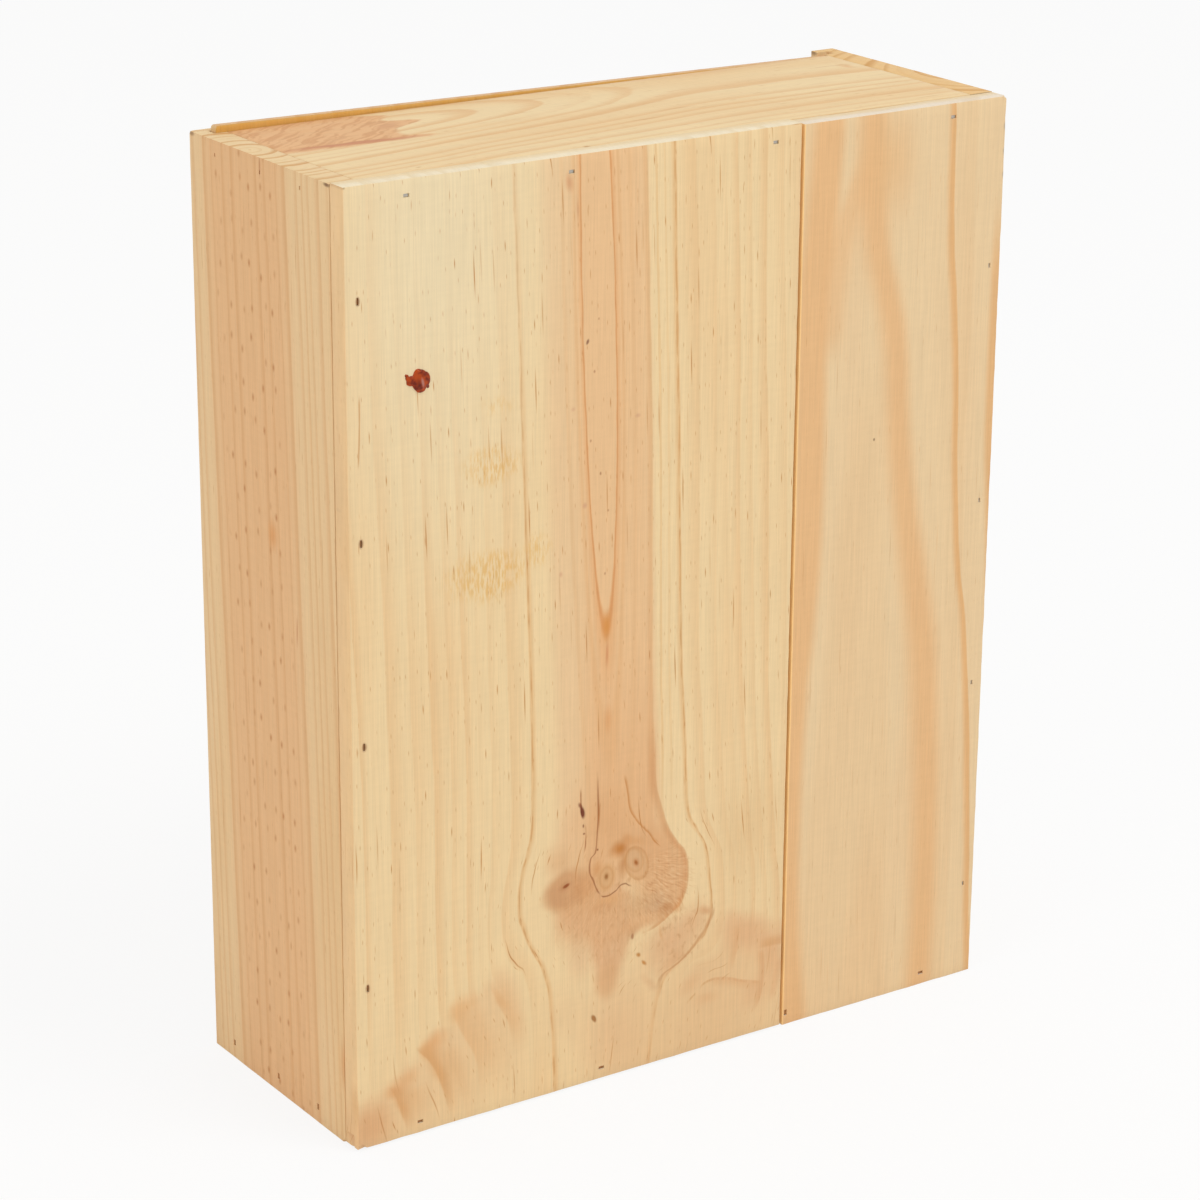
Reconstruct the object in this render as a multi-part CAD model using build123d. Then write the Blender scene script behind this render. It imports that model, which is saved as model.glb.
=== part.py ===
from build123d import *
import os

# Three-bottle pine wine box with a sliding lid, standing on its closed end.
# Butt-jointed side and end boards carry two base boards, all fastened with driven brads.
# X runs across the box, Y from the base boards to the lid, Z up along the bottles.
# The origin is the middle of the closed end, on the floor. Sizes are in millimetres.

# The frame of side and end boards
box_width = 272.0
box_depth = 102.0
box_height = 340.0
side_thickness = 10.0
end_thickness = 10.0
edge_ease = 0.6  # sanded rounding of the outer edges

# The two base boards, sawn to the height of the sides and nailed on over them
base_thickness = 8.5
wide_board_width = 181.2
board_gap = 1.2
wide_board_lift = 0.6  # the wide board sits this much higher than the narrow one

# The sliding lid and the grooves that guide it
lid_thickness = 4.0
lid_lip = 3.8  # wood left behind the groove
groove_depth = 4.8
lid_face_clearance = 0.25
lid_edge_clearance = 0.8
lid_rise_left = 2.2  # the lid's open end is sawn out of square
lid_drop_right = 1.9
lid_corner_radius = 2.5
thumb_notch_width = 34.0
thumb_notch_depth = 2.0
thumb_notch_from_top = 24.0

# The dividers that keep the bottles apart, held in dadoes across the end boards
bottle_count = 3
divider_thickness = 4.0
divider_depth = 52.0
dado_depth = 3.0
dado_side_clearance = 0.15
dado_end_clearance = 0.3

# The brads, T-headed strips of flat wire
brad_wire_width = 1.25
brad_wire_thickness = 1.0
brad_head_width = 2.0
brad_head_height = 0.8
brad_tip_length = 1.6
brad_tip_width = 0.25
brad_head_set = 0.6  # how far the gun sinks the head below the face
side_brad_length = 30.0
base_brad_length = 22.0
seam_brad_inset = 1.6

# Where the brads stand, as shares of the edge that they follow
high_side_brad_shares = (0.22, 0.53, 0.89)
low_side_brad_shares = (0.22, 0.55, 0.93)
high_side_brad_share = 0.50  # of the thickness of the end board that the brads enter
low_side_brad_share = 0.62
left_edge_brad_shares = (0.18, 0.44, 0.65, 0.89)
right_edge_brad_shares = (0.11, 0.35, 0.56, 0.82)
wide_top_brad_shares = (0.13, 0.48, 0.94)
wide_bottom_brad_shares = (0.14, 0.56)
narrow_end_brad_share = 0.73

overrun = 1.0  # how far a cut runs past the face that it opens

# Places worked out from the sizes above
left_face = -box_width / 2
right_face = box_width / 2
front_face = -box_depth / 2
back_face = box_depth / 2
inner_left = left_face + side_thickness
inner_right = right_face - side_thickness
base_inner_face = front_face + base_thickness
groove_width = lid_thickness + 2 * lid_face_clearance
groove_back = back_face - lid_lip
groove_front = groove_back - groove_width
top_end_inner = box_height - end_thickness
seam_left = left_face + wide_board_width
seam_right = seam_left + board_gap
lid_foot = end_thickness - groove_depth
lid_outer_face = groove_back - lid_face_clearance
lid_inner_face = lid_outer_face - lid_thickness
lid_half_width = box_width / 2 - side_thickness + groove_depth - lid_edge_clearance
end_brad_inset = end_thickness / 2
edge_brad_inset = side_thickness / 2


def block(low, high):
    """A box between two opposite corners."""
    size = [b - a for a, b in zip(low, high)]
    centre = [(a + b) / 2 for a, b in zip(low, high)]
    return Pos(*centre) * Box(*size)


def eased(board, face_axis, outward, kept=()):
    """Rounds the edges of a board's outward face, apart from those on the planes in kept."""
    faces = board.faces().sort_by(face_axis)
    face = faces[-1] if outward > 0 else faces[0]
    edges = face.edges()
    for axis, place in kept:
        edges = edges.filter_by(lambda e: abs(tuple(e.center())[axis] - place) > edge_ease)
    return fillet(edges, edge_ease)


def between(low, high, share):
    """The place at a share of the way from low to high."""
    return low + share * (high - low)


# Brads and the holes that they make

def brad_profile(length):
    """The T-shaped outline of a brad, head up, with the top of its head at the origin."""
    half_head = brad_head_width / 2
    half_wire = brad_wire_width / 2
    half_tip = brad_tip_width / 2
    outline = Polyline(
        (-half_head, 0),
        (half_head, 0),
        (half_head, -brad_head_height),
        (half_wire, -brad_head_height),
        (half_wire, brad_tip_length - length),
        (half_tip, -length),
        (-half_tip, -length),
        (-half_wire, brad_tip_length - length),
        (-half_wire, -brad_head_height),
        (-half_head, -brad_head_height),
        close=True,
    )
    return make_face(outline)


def brad(length):
    """One brad, driven along -Z, its head lengthwise on X."""
    return extrude(Plane.XZ * brad_profile(length), brad_wire_thickness / 2, both=True)


def brad_hole(length):
    """The brad's own hole, open to the face above its sunk head."""
    mouth_height = brad_head_set + overrun
    mouth = block(
        (-brad_head_width / 2, -brad_wire_thickness / 2, 0),
        (brad_head_width / 2, brad_wire_thickness / 2, mouth_height),
    )
    return brad(length) + mouth


def side_seats(face, inward):
    """Seats for the brads through a side board into both end boards, heads upright along the grain."""
    turn = Rot(0, 90, 0) if inward < 0 else Rot(0, -90, 0)
    low_height = low_side_brad_share * end_thickness
    high_height = box_height - high_side_brad_share * end_thickness
    rows = ((low_height, low_side_brad_shares), (high_height, high_side_brad_shares))
    return [
        Pos(face + inward * brad_head_set, between(base_inner_face, groove_front, share), height) * turn
        for height, shares in rows
        for share in shares
    ]


def base_seat(x, z, upright):
    """A seat for a brad through a base board, its head along Z where upright and along X otherwise."""
    lengthwise = Rot(0, 0, 90) if upright else Rot(0, 0, 0)
    return Pos(x, front_face + brad_head_set, z) * Rot(90, 0, 0) * lengthwise


def base_row(left, right, shares, height):
    """Seats in a row across a base board at one height, heads along the row."""
    return [base_seat(between(left, right, share), height, False) for share in shares]


low_row = end_brad_inset
high_row = box_height - end_brad_inset
left_column = left_face + edge_brad_inset
right_column = right_face - edge_brad_inset
narrow_end_column = between(seam_right, right_face, narrow_end_brad_share)

left_side_seats = side_seats(left_face, 1)
right_side_seats = side_seats(right_face, -1)
wide_edge_seats = [base_seat(left_column, share * box_height, True) for share in left_edge_brad_shares]
wide_top_seats = base_row(left_face, seam_left, wide_top_brad_shares, high_row)
wide_bottom_seats = base_row(left_face, seam_left, wide_bottom_brad_shares, low_row)
narrow_edge_seats = [base_seat(right_column, share * box_height, True) for share in right_edge_brad_shares]
narrow_top_seats = [base_seat(narrow_end_column, high_row, False)]
narrow_bottom_seats = [
    base_seat(seam_right + seam_brad_inset, low_row, True),
    base_seat(narrow_end_column, low_row, False),
]


def holes(seats, length):
    """The holes of brads driven at some seats."""
    hole = brad_hole(length)
    return [seat * hole for seat in seats]


def brads(seats, length):
    """The brads driven at some seats, as separate solids."""
    one = brad(length)
    return Compound(children=[seat * one for seat in seats])


wide_end_holes = {
    "top": holes(wide_top_seats, base_brad_length),
    "bottom": holes(wide_bottom_seats, base_brad_length),
}
narrow_end_holes = {
    "top": holes(narrow_top_seats, base_brad_length),
    "bottom": holes(narrow_bottom_seats, base_brad_length),
}
wide_edge_holes = holes(wide_edge_seats, base_brad_length)
narrow_edge_holes = holes(narrow_edge_seats, base_brad_length)
left_side_holes = holes(left_side_seats, side_brad_length)
right_side_holes = holes(right_side_seats, side_brad_length)


# Side boards, grooved along the inner face for the lid

def side_board(outer, inner, brad_holes):
    """A side board from its outer to its inner face, grooved right through from end to end."""
    low, high = sorted((outer, inner))
    board = block((low, base_inner_face, 0), (high, back_face, box_height))
    board = eased(board, Axis.X, outer, kept=[(1, base_inner_face)])
    groove_floor = inner + groove_depth * (1 if outer > inner else -1)
    inner_side = inner + overrun * (1 if inner > outer else -1)
    groove_low, groove_high = sorted((groove_floor, inner_side))
    groove = block(
        (groove_low, groove_front, -overrun),
        (groove_high, groove_back, box_height + overrun),
    )
    return board - groove - brad_holes


left_side_board = side_board(left_face, inner_left, left_side_holes + wide_edge_holes)
right_side_board = side_board(right_face, inner_right, right_side_holes + narrow_edge_holes)


# Dividers and the dadoes that hold them

bay_width = (inner_right - inner_left - (bottle_count - 1) * divider_thickness) / bottle_count
bay_pitch = bay_width + divider_thickness
first_divider_centre = inner_left + bay_width + divider_thickness / 2
divider_centres = [first_divider_centre + number * bay_pitch for number in range(bottle_count - 1)]
dado_half_width = divider_thickness / 2 + dado_side_clearance


def dado(centre, end_inner, into):
    """A dado across the inner face of an end board, from the base boards to the lid's path."""
    floor = end_inner + into * dado_depth
    mouth = end_inner - into * overrun
    low, high = sorted((floor, mouth))
    return block(
        (centre - dado_half_width, base_inner_face - overrun, low),
        (centre + dado_half_width, groove_front + overrun, high),
    )


def divider(centre):
    """One divider, standing in its lower dado against the base boards."""
    return block(
        (centre - divider_thickness / 2, base_inner_face, end_thickness - dado_depth),
        (
            centre + divider_thickness / 2,
            base_inner_face + divider_depth,
            top_end_inner + dado_depth - dado_end_clearance,
        ),
    )


# End boards, between the sides

end_brad_holes = left_side_holes + right_side_holes

# The lid passes over the open end, so that end board stops short of it.
top_end_board = block((inner_left, base_inner_face, top_end_inner), (inner_right, groove_front, box_height))
top_end_board -= [dado(centre, top_end_inner, 1) for centre in divider_centres]
top_end_board -= end_brad_holes + wide_end_holes["top"] + narrow_end_holes["top"]

# The closed end reaches the full depth and has a groove for the foot of the lid.
lid_foot_groove = block(
    (inner_left - overrun, groove_front, lid_foot),
    (inner_right + overrun, groove_back, end_thickness + overrun),
)
bottom_end_board = block((inner_left, base_inner_face, 0), (inner_right, back_face, end_thickness))
bottom_end_board -= lid_foot_groove
bottom_end_board -= [dado(centre, end_thickness, -1) for centre in divider_centres]
bottom_end_board -= end_brad_holes + wide_end_holes["bottom"] + narrow_end_holes["bottom"]


# Base boards

def base_board(left, right, foot, brad_holes):
    """A base board nailed over the frame, its outer edges rounded."""
    board = block((left, front_face, foot), (right, base_inner_face, foot + box_height))
    return eased(board, Axis.Y, -1) - brad_holes


wide_base_board = base_board(
    left_face,
    seam_left,
    wide_board_lift,
    wide_edge_holes + wide_end_holes["top"] + wide_end_holes["bottom"],
)
narrow_base_board = base_board(
    seam_right,
    right_face,
    0,
    narrow_edge_holes + narrow_end_holes["top"] + narrow_end_holes["bottom"],
)


# Sliding lid, with a thumb notch near its open end

def lid_blank():
    """The lid's plain panel, its open end out of square and that end's corners rounded."""
    left_top = box_height + lid_rise_left
    right_top = box_height - lid_drop_right
    outline = Polyline(
        (-lid_half_width, lid_foot),
        (lid_half_width, lid_foot),
        (lid_half_width, right_top),
        (-lid_half_width, left_top),
        close=True,
    )
    face = make_face(outline)
    top_corners = face.vertices().sort_by(Axis.Y)[-2:]
    face = fillet(top_corners, lid_corner_radius)
    return Pos(0, lid_outer_face, 0) * extrude(Plane.XZ * face, lid_thickness)


def thumb_notch():
    """A half-moon scoop in the lid's outer face, with a square wall on the side that the thumb pushes."""
    half_width = thumb_notch_width / 2
    ball_radius = (half_width**2 + thumb_notch_depth**2) / (2 * thumb_notch_depth)
    wall = box_height - thumb_notch_from_top
    ball_centre = lid_outer_face + ball_radius - thumb_notch_depth
    ball = Pos(0, ball_centre, wall) * Sphere(ball_radius)
    lower_half = block(
        (-thumb_notch_width, lid_inner_face, wall - thumb_notch_width),
        (thumb_notch_width, lid_outer_face + overrun, wall),
    )
    return ball & lower_half


sliding_lid = lid_blank() - thumb_notch()


# Every piece as its own node, each group of brads as separate solids

wide_seats = wide_edge_seats + wide_top_seats + wide_bottom_seats
narrow_seats = narrow_edge_seats + narrow_top_seats + narrow_bottom_seats
pieces = {
    "left_side_board": left_side_board,
    "right_side_board": right_side_board,
    "top_end_board": top_end_board,
    "bottom_end_board": bottom_end_board,
    "wide_base_board": wide_base_board,
    "narrow_base_board": narrow_base_board,
    "sliding_lid": sliding_lid,
    "left_side_brads": brads(left_side_seats, side_brad_length),
    "right_side_brads": brads(right_side_seats, side_brad_length),
    "wide_base_brads": brads(wide_seats, base_brad_length),
    "narrow_base_brads": brads(narrow_seats, base_brad_length),
}
for number, centre in enumerate(divider_centres, start=1):
    pieces[f"bottle_divider_{number}"] = divider(centre)

os.makedirs("parts", exist_ok=True)
for name, piece in pieces.items():
    export_step(piece, f"parts/{name}.step")
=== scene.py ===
import math
import bpy
from mathutils import Matrix, Vector


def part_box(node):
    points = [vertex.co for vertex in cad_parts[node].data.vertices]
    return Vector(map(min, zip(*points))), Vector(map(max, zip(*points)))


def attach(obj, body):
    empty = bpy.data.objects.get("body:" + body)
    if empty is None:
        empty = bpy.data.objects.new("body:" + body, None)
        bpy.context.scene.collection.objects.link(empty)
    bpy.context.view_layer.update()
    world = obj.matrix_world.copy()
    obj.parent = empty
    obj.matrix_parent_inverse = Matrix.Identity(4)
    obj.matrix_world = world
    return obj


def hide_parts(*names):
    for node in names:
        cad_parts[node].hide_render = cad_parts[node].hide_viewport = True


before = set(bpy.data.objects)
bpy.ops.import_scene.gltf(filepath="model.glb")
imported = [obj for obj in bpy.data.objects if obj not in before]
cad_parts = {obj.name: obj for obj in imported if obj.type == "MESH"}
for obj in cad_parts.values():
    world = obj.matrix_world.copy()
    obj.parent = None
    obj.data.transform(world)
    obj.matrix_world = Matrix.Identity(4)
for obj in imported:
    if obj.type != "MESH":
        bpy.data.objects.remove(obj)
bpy.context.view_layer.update()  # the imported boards, lid, dividers and brads
print("frame loaded:", len(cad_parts), "nodes")

mm = 0.001  # metres in a millimetre


def hexToLinear(code):
    channels = [int(code[i:i + 2], 16) / 255 for i in (1, 3, 5)]
    linear = [c / 12.92 if c <= 0.04045 else ((c + 0.055) / 1.055) ** 2.4 for c in channels]
    return (*linear, 1.0)


def addNode(tree, kind, settings=None, links=None):  # settings name a property, an input or curve points
    node = tree.nodes.new("ShaderNode" + kind)
    for key, value in (settings or {}).items():
        if key == "points":
            curve = node.mapping.curves[0]
            while len(curve.points) < len(value):
                curve.points.new(0.5, 0.5)
            for point, spot in zip(curve.points, value):
                point.location = spot
            node.mapping.update()
        elif isinstance(key, str) and hasattr(node, key):
            setattr(node, key, value)
        else:
            node.inputs[key].default_value = value
    for key, source in (links or {}).items():
        socket = source.outputs[0] if hasattr(source, "outputs") else source
        tree.links.new(socket, node.inputs[key])
    return node


def maths(tree, operation, *values, kind="Math"):  # numbers are set, nodes and their outputs are linked
    plain = {i: value for i, value in enumerate(values) if isinstance(value, (int, float, tuple, list))}
    linked = {i: value for i, value in enumerate(values) if i not in plain}
    return addNode(tree, kind, {"operation": operation, **plain}, linked)


def vectors(tree, operation, *values):
    return maths(tree, operation, *values, kind="VectorMath")


def join(tree, *values):  # a vector of up to three numbers
    return addNode(tree, "CombineXYZ", links=dict(enumerate(values)))


def split(tree, vector):
    return addNode(tree, "SeparateXYZ", links={0: vector}).outputs


def rescale(tree, value, start, end, low=0.0, high=1.0, **settings):
    return addNode(tree, "MapRange", {1: start, 2: end, 3: low, 4: high, **settings}, {0: value})


def ease(tree, value, *ends):  # the same with soft ends
    return rescale(tree, value, *ends, interpolation_type="SMOOTHSTEP")


def blend(tree, share, first, second):  # from one colour to another, each a hex tone or an output
    tones = {6: first, 7: second}
    plain = {i: hexToLinear(tone) for i, tone in tones.items() if isinstance(tone, str)}
    linked = {i: tone for i, tone in tones.items() if i not in plain}
    return addNode(tree, "Mix", {"data_type": "RGBA", **plain}, {0: share, **linked}).outputs[2]


def newMaterial(name):
    material = bpy.data.materials.new(name)
    material.use_nodes = True
    material.node_tree.nodes.clear()
    return material, material.node_tree


# Modelling by hand

def deselectAll():
    bpy.ops.object.select_all(action="DESELECT")


def useOnly(piece):
    deselectAll()
    piece.select_set(True)
    bpy.context.view_layer.objects.active = piece


def settle(piece):  # the place and turn go into the mesh
    useOnly(piece)
    bpy.ops.object.transform_apply(location=True, rotation=True, scale=True)


def blank(name, low, high, turn=(0, 0, 0)):  # plain block between two corners in mm
    deselectAll()
    centre = [(a + b) / 2 * mm for a, b in zip(low, high)]
    size = [(b - a) * mm for a, b in zip(low, high)]
    bpy.ops.mesh.primitive_cube_add(size=1, location=centre, scale=size, rotation=turn)
    piece = bpy.context.object
    piece.name = name
    settle(piece)
    return piece


def nodeBox(node):  # a CAD node's lowest and highest corners in mm
    return [[v / mm for v in corner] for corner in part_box(node)]


def pick(piece, what, test):  # selects "FACE", "EDGE" or "VERT" by place, and stays in edit mode
    useOnly(piece)
    bpy.ops.object.mode_set(mode="EDIT")
    bpy.ops.mesh.select_mode(type=what)
    bpy.ops.mesh.select_all(action="DESELECT")
    bpy.ops.object.mode_set(mode="OBJECT")
    mesh = piece.data
    if what == "VERT":
        for vertex in mesh.vertices:
            vertex.select = test(vertex.co / mm)
    elif what == "EDGE":
        for edge in mesh.edges:
            ends = [mesh.vertices[i].co / mm for i in edge.vertices]
            edge.select = test(*ends)
    else:
        for face in mesh.polygons:
            face.select = test(face.center / mm, face.normal)
    bpy.ops.object.mode_set(mode="EDIT")


def applyModifier(piece, kind, **settings):
    useOnly(piece)
    modifier = piece.modifiers.new(kind.lower(), kind)
    for key, value in settings.items():
        setattr(modifier, key, value)
    bpy.ops.object.modifier_apply(modifier=modifier.name)


def roundEdges(piece, arris):  # mm
    applyModifier(piece, "BEVEL", width=arris * mm, segments=2, limit_method="ANGLE",
                  angle_limit=math.radians(40))


def shadeSoft(piece, angle=35):
    useOnly(piece)
    bpy.ops.object.shade_smooth_by_angle(angle=math.radians(angle))


def trim(piece, cuts, **settings):  # takes off what lies past each axis's place in mm, and fills the cut
    useOnly(piece)
    bpy.ops.object.mode_set(mode="EDIT")
    for axis, place in cuts:
        normal = [1 if i == axis else 0 for i in range(3)]
        bpy.ops.mesh.select_all(action="SELECT")
        bpy.ops.mesh.bisect(plane_co=[place * mm * side for side in normal], plane_no=normal, use_fill=True,
                            clear_outer=True, **settings)
    bpy.ops.object.mode_set(mode="OBJECT")


def cutAway(piece, cutters):  # takes the cutters out of a piece, all at once, and removes them
    useOnly(cutters[0])
    for cutter in cutters:
        cutter.select_set(True)
    if len(cutters) > 1:
        bpy.ops.object.join()
    cutter = bpy.context.object
    applyModifier(piece, "BOOLEAN", operation="DIFFERENCE", solver="EXACT", object=cutter)
    bpy.data.objects.remove(cutter)


def sliceAcross(piece, axis, step):  # loops at even steps, so that the arrises can wear
    useOnly(piece)
    places = [vertex.co[axis] for vertex in piece.data.vertices]
    low, high = min(places), max(places)
    count = max(2, round((high - low) / (step * mm)))
    normal = [1 if i == axis else 0 for i in range(3)]
    bpy.ops.object.mode_set(mode="EDIT")
    for i in range(1, count):
        bpy.ops.mesh.select_all(action="SELECT")
        place = low + (high - low) * i / count
        bpy.ops.mesh.bisect(plane_co=[place * side for side in normal], plane_no=normal)
    bpy.ops.object.mode_set(mode="OBJECT")


boardLook = {
    "arris": 0.45,  # mm, sanded rounding of an edge
    "tightArris": 0.14,  # mm, on boards that others butt against
    "step": 4.0,  # mm between loops up the box
    "crossStep": 6.0,  # mm between loops across it
    "thick": 20.0,  # mm, more than any board's thickness
    "wearSize": 5.0,  # mm, length of a dent in an arris
    "wearShare": 0.85,  # of the arris, how deep the deepest dent goes
    "grooveFront": 42.7,  # mm, the lid's groove in the side and closed end boards
    "grooveBack": 47.2,
    "grooveDepth": 4.8,
    "dadoDepth": 3.0,  # mm, where the dividers stand in the end boards
    "dadoWidth": 4.3,
    "dadoPlaces": (-42.667, 42.667),
    "overrun": 1.0,  # mm that a cutter passes an open side by
}


def wearArrises(piece, low, high, arris):  # dents along the outer edges, always inwards
    reach = arris * 1.2
    near = []
    for vertex in piece.data.vertices:
        spot = vertex.co / mm
        if sum(min(spot[i] - low[i], high[i] - spot[i]) < reach for i in range(3)) >= 2:
            near.append(vertex.index)
    group = piece.vertex_groups.new(name="arris")
    group.add(near, 1.0, "REPLACE")
    dents = bpy.data.textures.new(piece.name + "Dents", "CLOUDS")
    dents.noise_scale = boardLook["wearSize"] * mm
    dents.noise_depth = 3
    applyModifier(piece, "DISPLACE", texture=dents, vertex_group="arris", texture_coords="LOCAL",
                  direction="NORMAL", strength=-boardLook["wearShare"] * arris * mm, mid_level=0.0)
    bpy.data.textures.remove(dents)


bradLook = {
    "headLong": 2.3,  # mm, the torn mouth that a head leaves in the face
    "headShort": 1.25,
    "sink": 0.95,  # mm from the face to the mouth's floor, a little below the head
    "whole": (1.0, 1.0),  # share of a mouth's length and width that is open
}


def bradMouth(spot, face, upright, left=bradLook["whole"]):  # spot is on the face, left is the open share
    half = [0.0, 0.0, 0.0]
    sideways = 1 if face == 0 else 0
    long = bradLook["headLong"] * left[0] / 2
    short = bradLook["headShort"] * left[1] / 2
    half[2], half[sideways] = (long, short) if upright else (short, long)
    inward = 1 if spot[face] < 0 else -1
    ends = sorted((spot[face] - inward * boardLook["overrun"], spot[face] + inward * bradLook["sink"]))
    low = [a - b for a, b in zip(spot, half)]
    high = [a + b for a, b in zip(spot, half)]
    low[face], high[face] = ends
    return blank("mouth", low, high)


def finishBoard(piece, arris, mouths=(), chips=()):  # eases the edges, wears them and opens the brad mouths
    corners = [vertex.co / mm for vertex in piece.data.vertices]
    low = [min(spot[i] for spot in corners) for i in range(3)]
    high = [max(spot[i] for spot in corners) for i in range(3)]
    roundEdges(piece, arris)
    for axis in range(3):
        if high[axis] - low[axis] > boardLook["thick"]:
            sliceAcross(piece, axis, boardLook["step"] if axis == 2 else boardLook["crossStep"])
    wearArrises(piece, low, high, arris)
    for middle, size, turn in chips:
        cutAway(piece, [blank("chip", [m - s / 2 for m, s in zip(middle, size)],
                              [m + s / 2 for m, s in zip(middle, size)], [math.radians(a) for a in turn])])
    if mouths:
        cutAway(piece, list(mouths))
    shadeSoft(piece)


def standIn(piece, node, body):  # the modelled piece takes a CAD node's place
    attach(piece, body)
    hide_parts(node)


# Side boards, grooved for the lid and nailed to the end boards

sideLook = {
    "closed": (0.55, 0.55),  # the wood has closed over the upper heads, this share of a mouth is left
    "upper": 300.0,  # mm
    "brads": [(-23.756, 6.2), (4.36, 6.2), (36.736, 6.2), (-23.756, 335), (2.656, 335), (33.328, 335)],
    "chips": [((-136, 51, 341), (3.4, 2.2, 3), (28, 20, 35)),
              ((-136.2, -42.4, -0.6), (2.6, 3, 2.4), (30, 40, 0))],
}


def sideBoard(name, node, inward):  # inward is 1 on the left board and -1 on the right one
    low, high = nodeBox(node)
    piece = blank(name, low, high)
    inner, outer = (high[0], low[0]) if inward > 0 else (low[0], high[0])
    across = sorted((inner - inward * boardLook["grooveDepth"], inner + inward * boardLook["overrun"]))
    over = boardLook["overrun"]
    cutAway(piece, [blank("groove", (across[0], boardLook["grooveFront"], low[2] - over),
                          (across[1], boardLook["grooveBack"], high[2] + over))])
    mouths = []
    for y, z in sideLook["brads"]:
        left = sideLook["closed"] if z > sideLook["upper"] else bradLook["whole"]
        mouths.append(bradMouth((outer, y, z), 0, True, left))
    finishBoard(piece, boardLook["tightArris"], mouths, sideLook["chips"] if inward > 0 else ())
    standIn(piece, node, "box")
    return piece


leftSide = sideBoard("leftSide", "left_side_board", 1)
rightSide = sideBoard("rightSide", "right_side_board", -1)
print("side boards modelled")

# End boards, with dadoes for the dividers

endLook = {"outOfSquare": 2.4}  # mm that the open end's board falls short of the lid at its right


def endBoard(name, node, inner, into):  # inner is its inside face's height, into is 1 if dadoes go up
    low, high = nodeBox(node)
    piece = blank(name, low, high)
    over, half = boardLook["overrun"], boardLook["dadoWidth"] / 2
    deep = sorted((inner + into * boardLook["dadoDepth"], inner - into * over))
    for x in boardLook["dadoPlaces"]:
        cutAway(piece, [blank("dado", (x - half, low[1] - over, deep[0]),
                              (x + half, boardLook["grooveFront"] + over, deep[1]))])
    if into > 0:  # the open end's board was sawn out of square
        pick(piece, "VERT", lambda spot: spot.x > 100 and spot.y > 40)
        bpy.ops.transform.translate(value=(0, -endLook["outOfSquare"] * mm, 0))
        bpy.ops.object.mode_set(mode="OBJECT")
    if into < 0:  # the closed end also takes the lid's foot
        foot = inner - boardLook["grooveDepth"]
        cutAway(piece, [blank("groove", (low[0] - over, boardLook["grooveFront"], foot),
                              (high[0] + over, boardLook["grooveBack"], inner + over))])
    finishBoard(piece, boardLook["tightArris"])
    standIn(piece, node, "box")
    return piece


topEnd = endBoard("topEnd", "top_end_board", 330.0, 1)
bottomEnd = endBoard("bottomEnd", "bottom_end_board", 10.0, -1)
print("end boards modelled")

# Base boards, two widths side by side over the frame

baseLook = {
    "torn": {"wideBase": (1.15, 0.6), "narrowBase": (0.75, 0.75)},  # share of a mouth open in the outer rows
    "outerRow": 130.0,  # mm from the middle
    "seam": 0.4,  # mm
    "wideBrads": [(-131, 61.2, True), (-131, 149.6, True), (-131, 221, True), (-131, 302.6, True),
                  (-112.444, 335, False), (-49.024, 335, False), (34.328, 335, False), (-110.632, 5, False),
                  (-34.528, 5, False)],
    "narrowBrads": [(131, 37.4, True), (131, 119, True), (131, 190.4, True), (131, 278.8, True),
                    (111.808, 335, False), (48, 5, True), (111.808, 5, False)],
    "wideChips": [((-135.4, -51.4, 0.2), (5, 2.2, 5.2), (20, 35, 25)),
                  ((-136.4, -46, 2), (1.6, 5, 7), (0, 12, 18)),
                  ((-136.4, -50.9, 341.4), (1.8, 1.8, 2), (35, 30, 10))],
    "narrowChips": [((136.2, -51, 340.6), (2.6, 2.2, 3.4), (25, 35, 0))],
}


def baseBoard(name, node, brads, chips, seam=0.0):  # seam is extra width, as the rounding opens the joint
    low, high = nodeBox(node)
    piece = blank(name, low, (high[0] + seam, *high[1:]))
    torn = baseLook["torn"][name]
    mouths = []
    for x, z, upright in brads:
        left = torn if abs(x) > baseLook["outerRow"] else bradLook["whole"]
        mouths.append(bradMouth((x, low[1], z), 1, upright, left))
    finishBoard(piece, boardLook["arris"], mouths, chips)
    standIn(piece, node, "box")
    return piece


wideBase = baseBoard("wideBase", "wide_base_board", baseLook["wideBrads"], baseLook["wideChips"],
                     baseLook["seam"])
narrowBase = baseBoard("narrowBase", "narrow_base_board", baseLook["narrowBrads"], baseLook["narrowChips"])
print("base boards modelled")

# Sliding lid, its open end out of square

lidLook = {
    "leftTop": 342.2,  # mm
    "rightTop": 338.8,
    "arris": 0.35,
    "step": 6.0,  # mm between loops
    "corner": 1.2,  # mm, radius of the open end's corners
    "planed": 1.8,  # mm off the outer arris of the open end
    "notchWidth": 34.0,  # mm, the half-moon that the thumb pushes
    "notchDepth": 2.0,
    "notchWall": 316.0,
}


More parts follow.
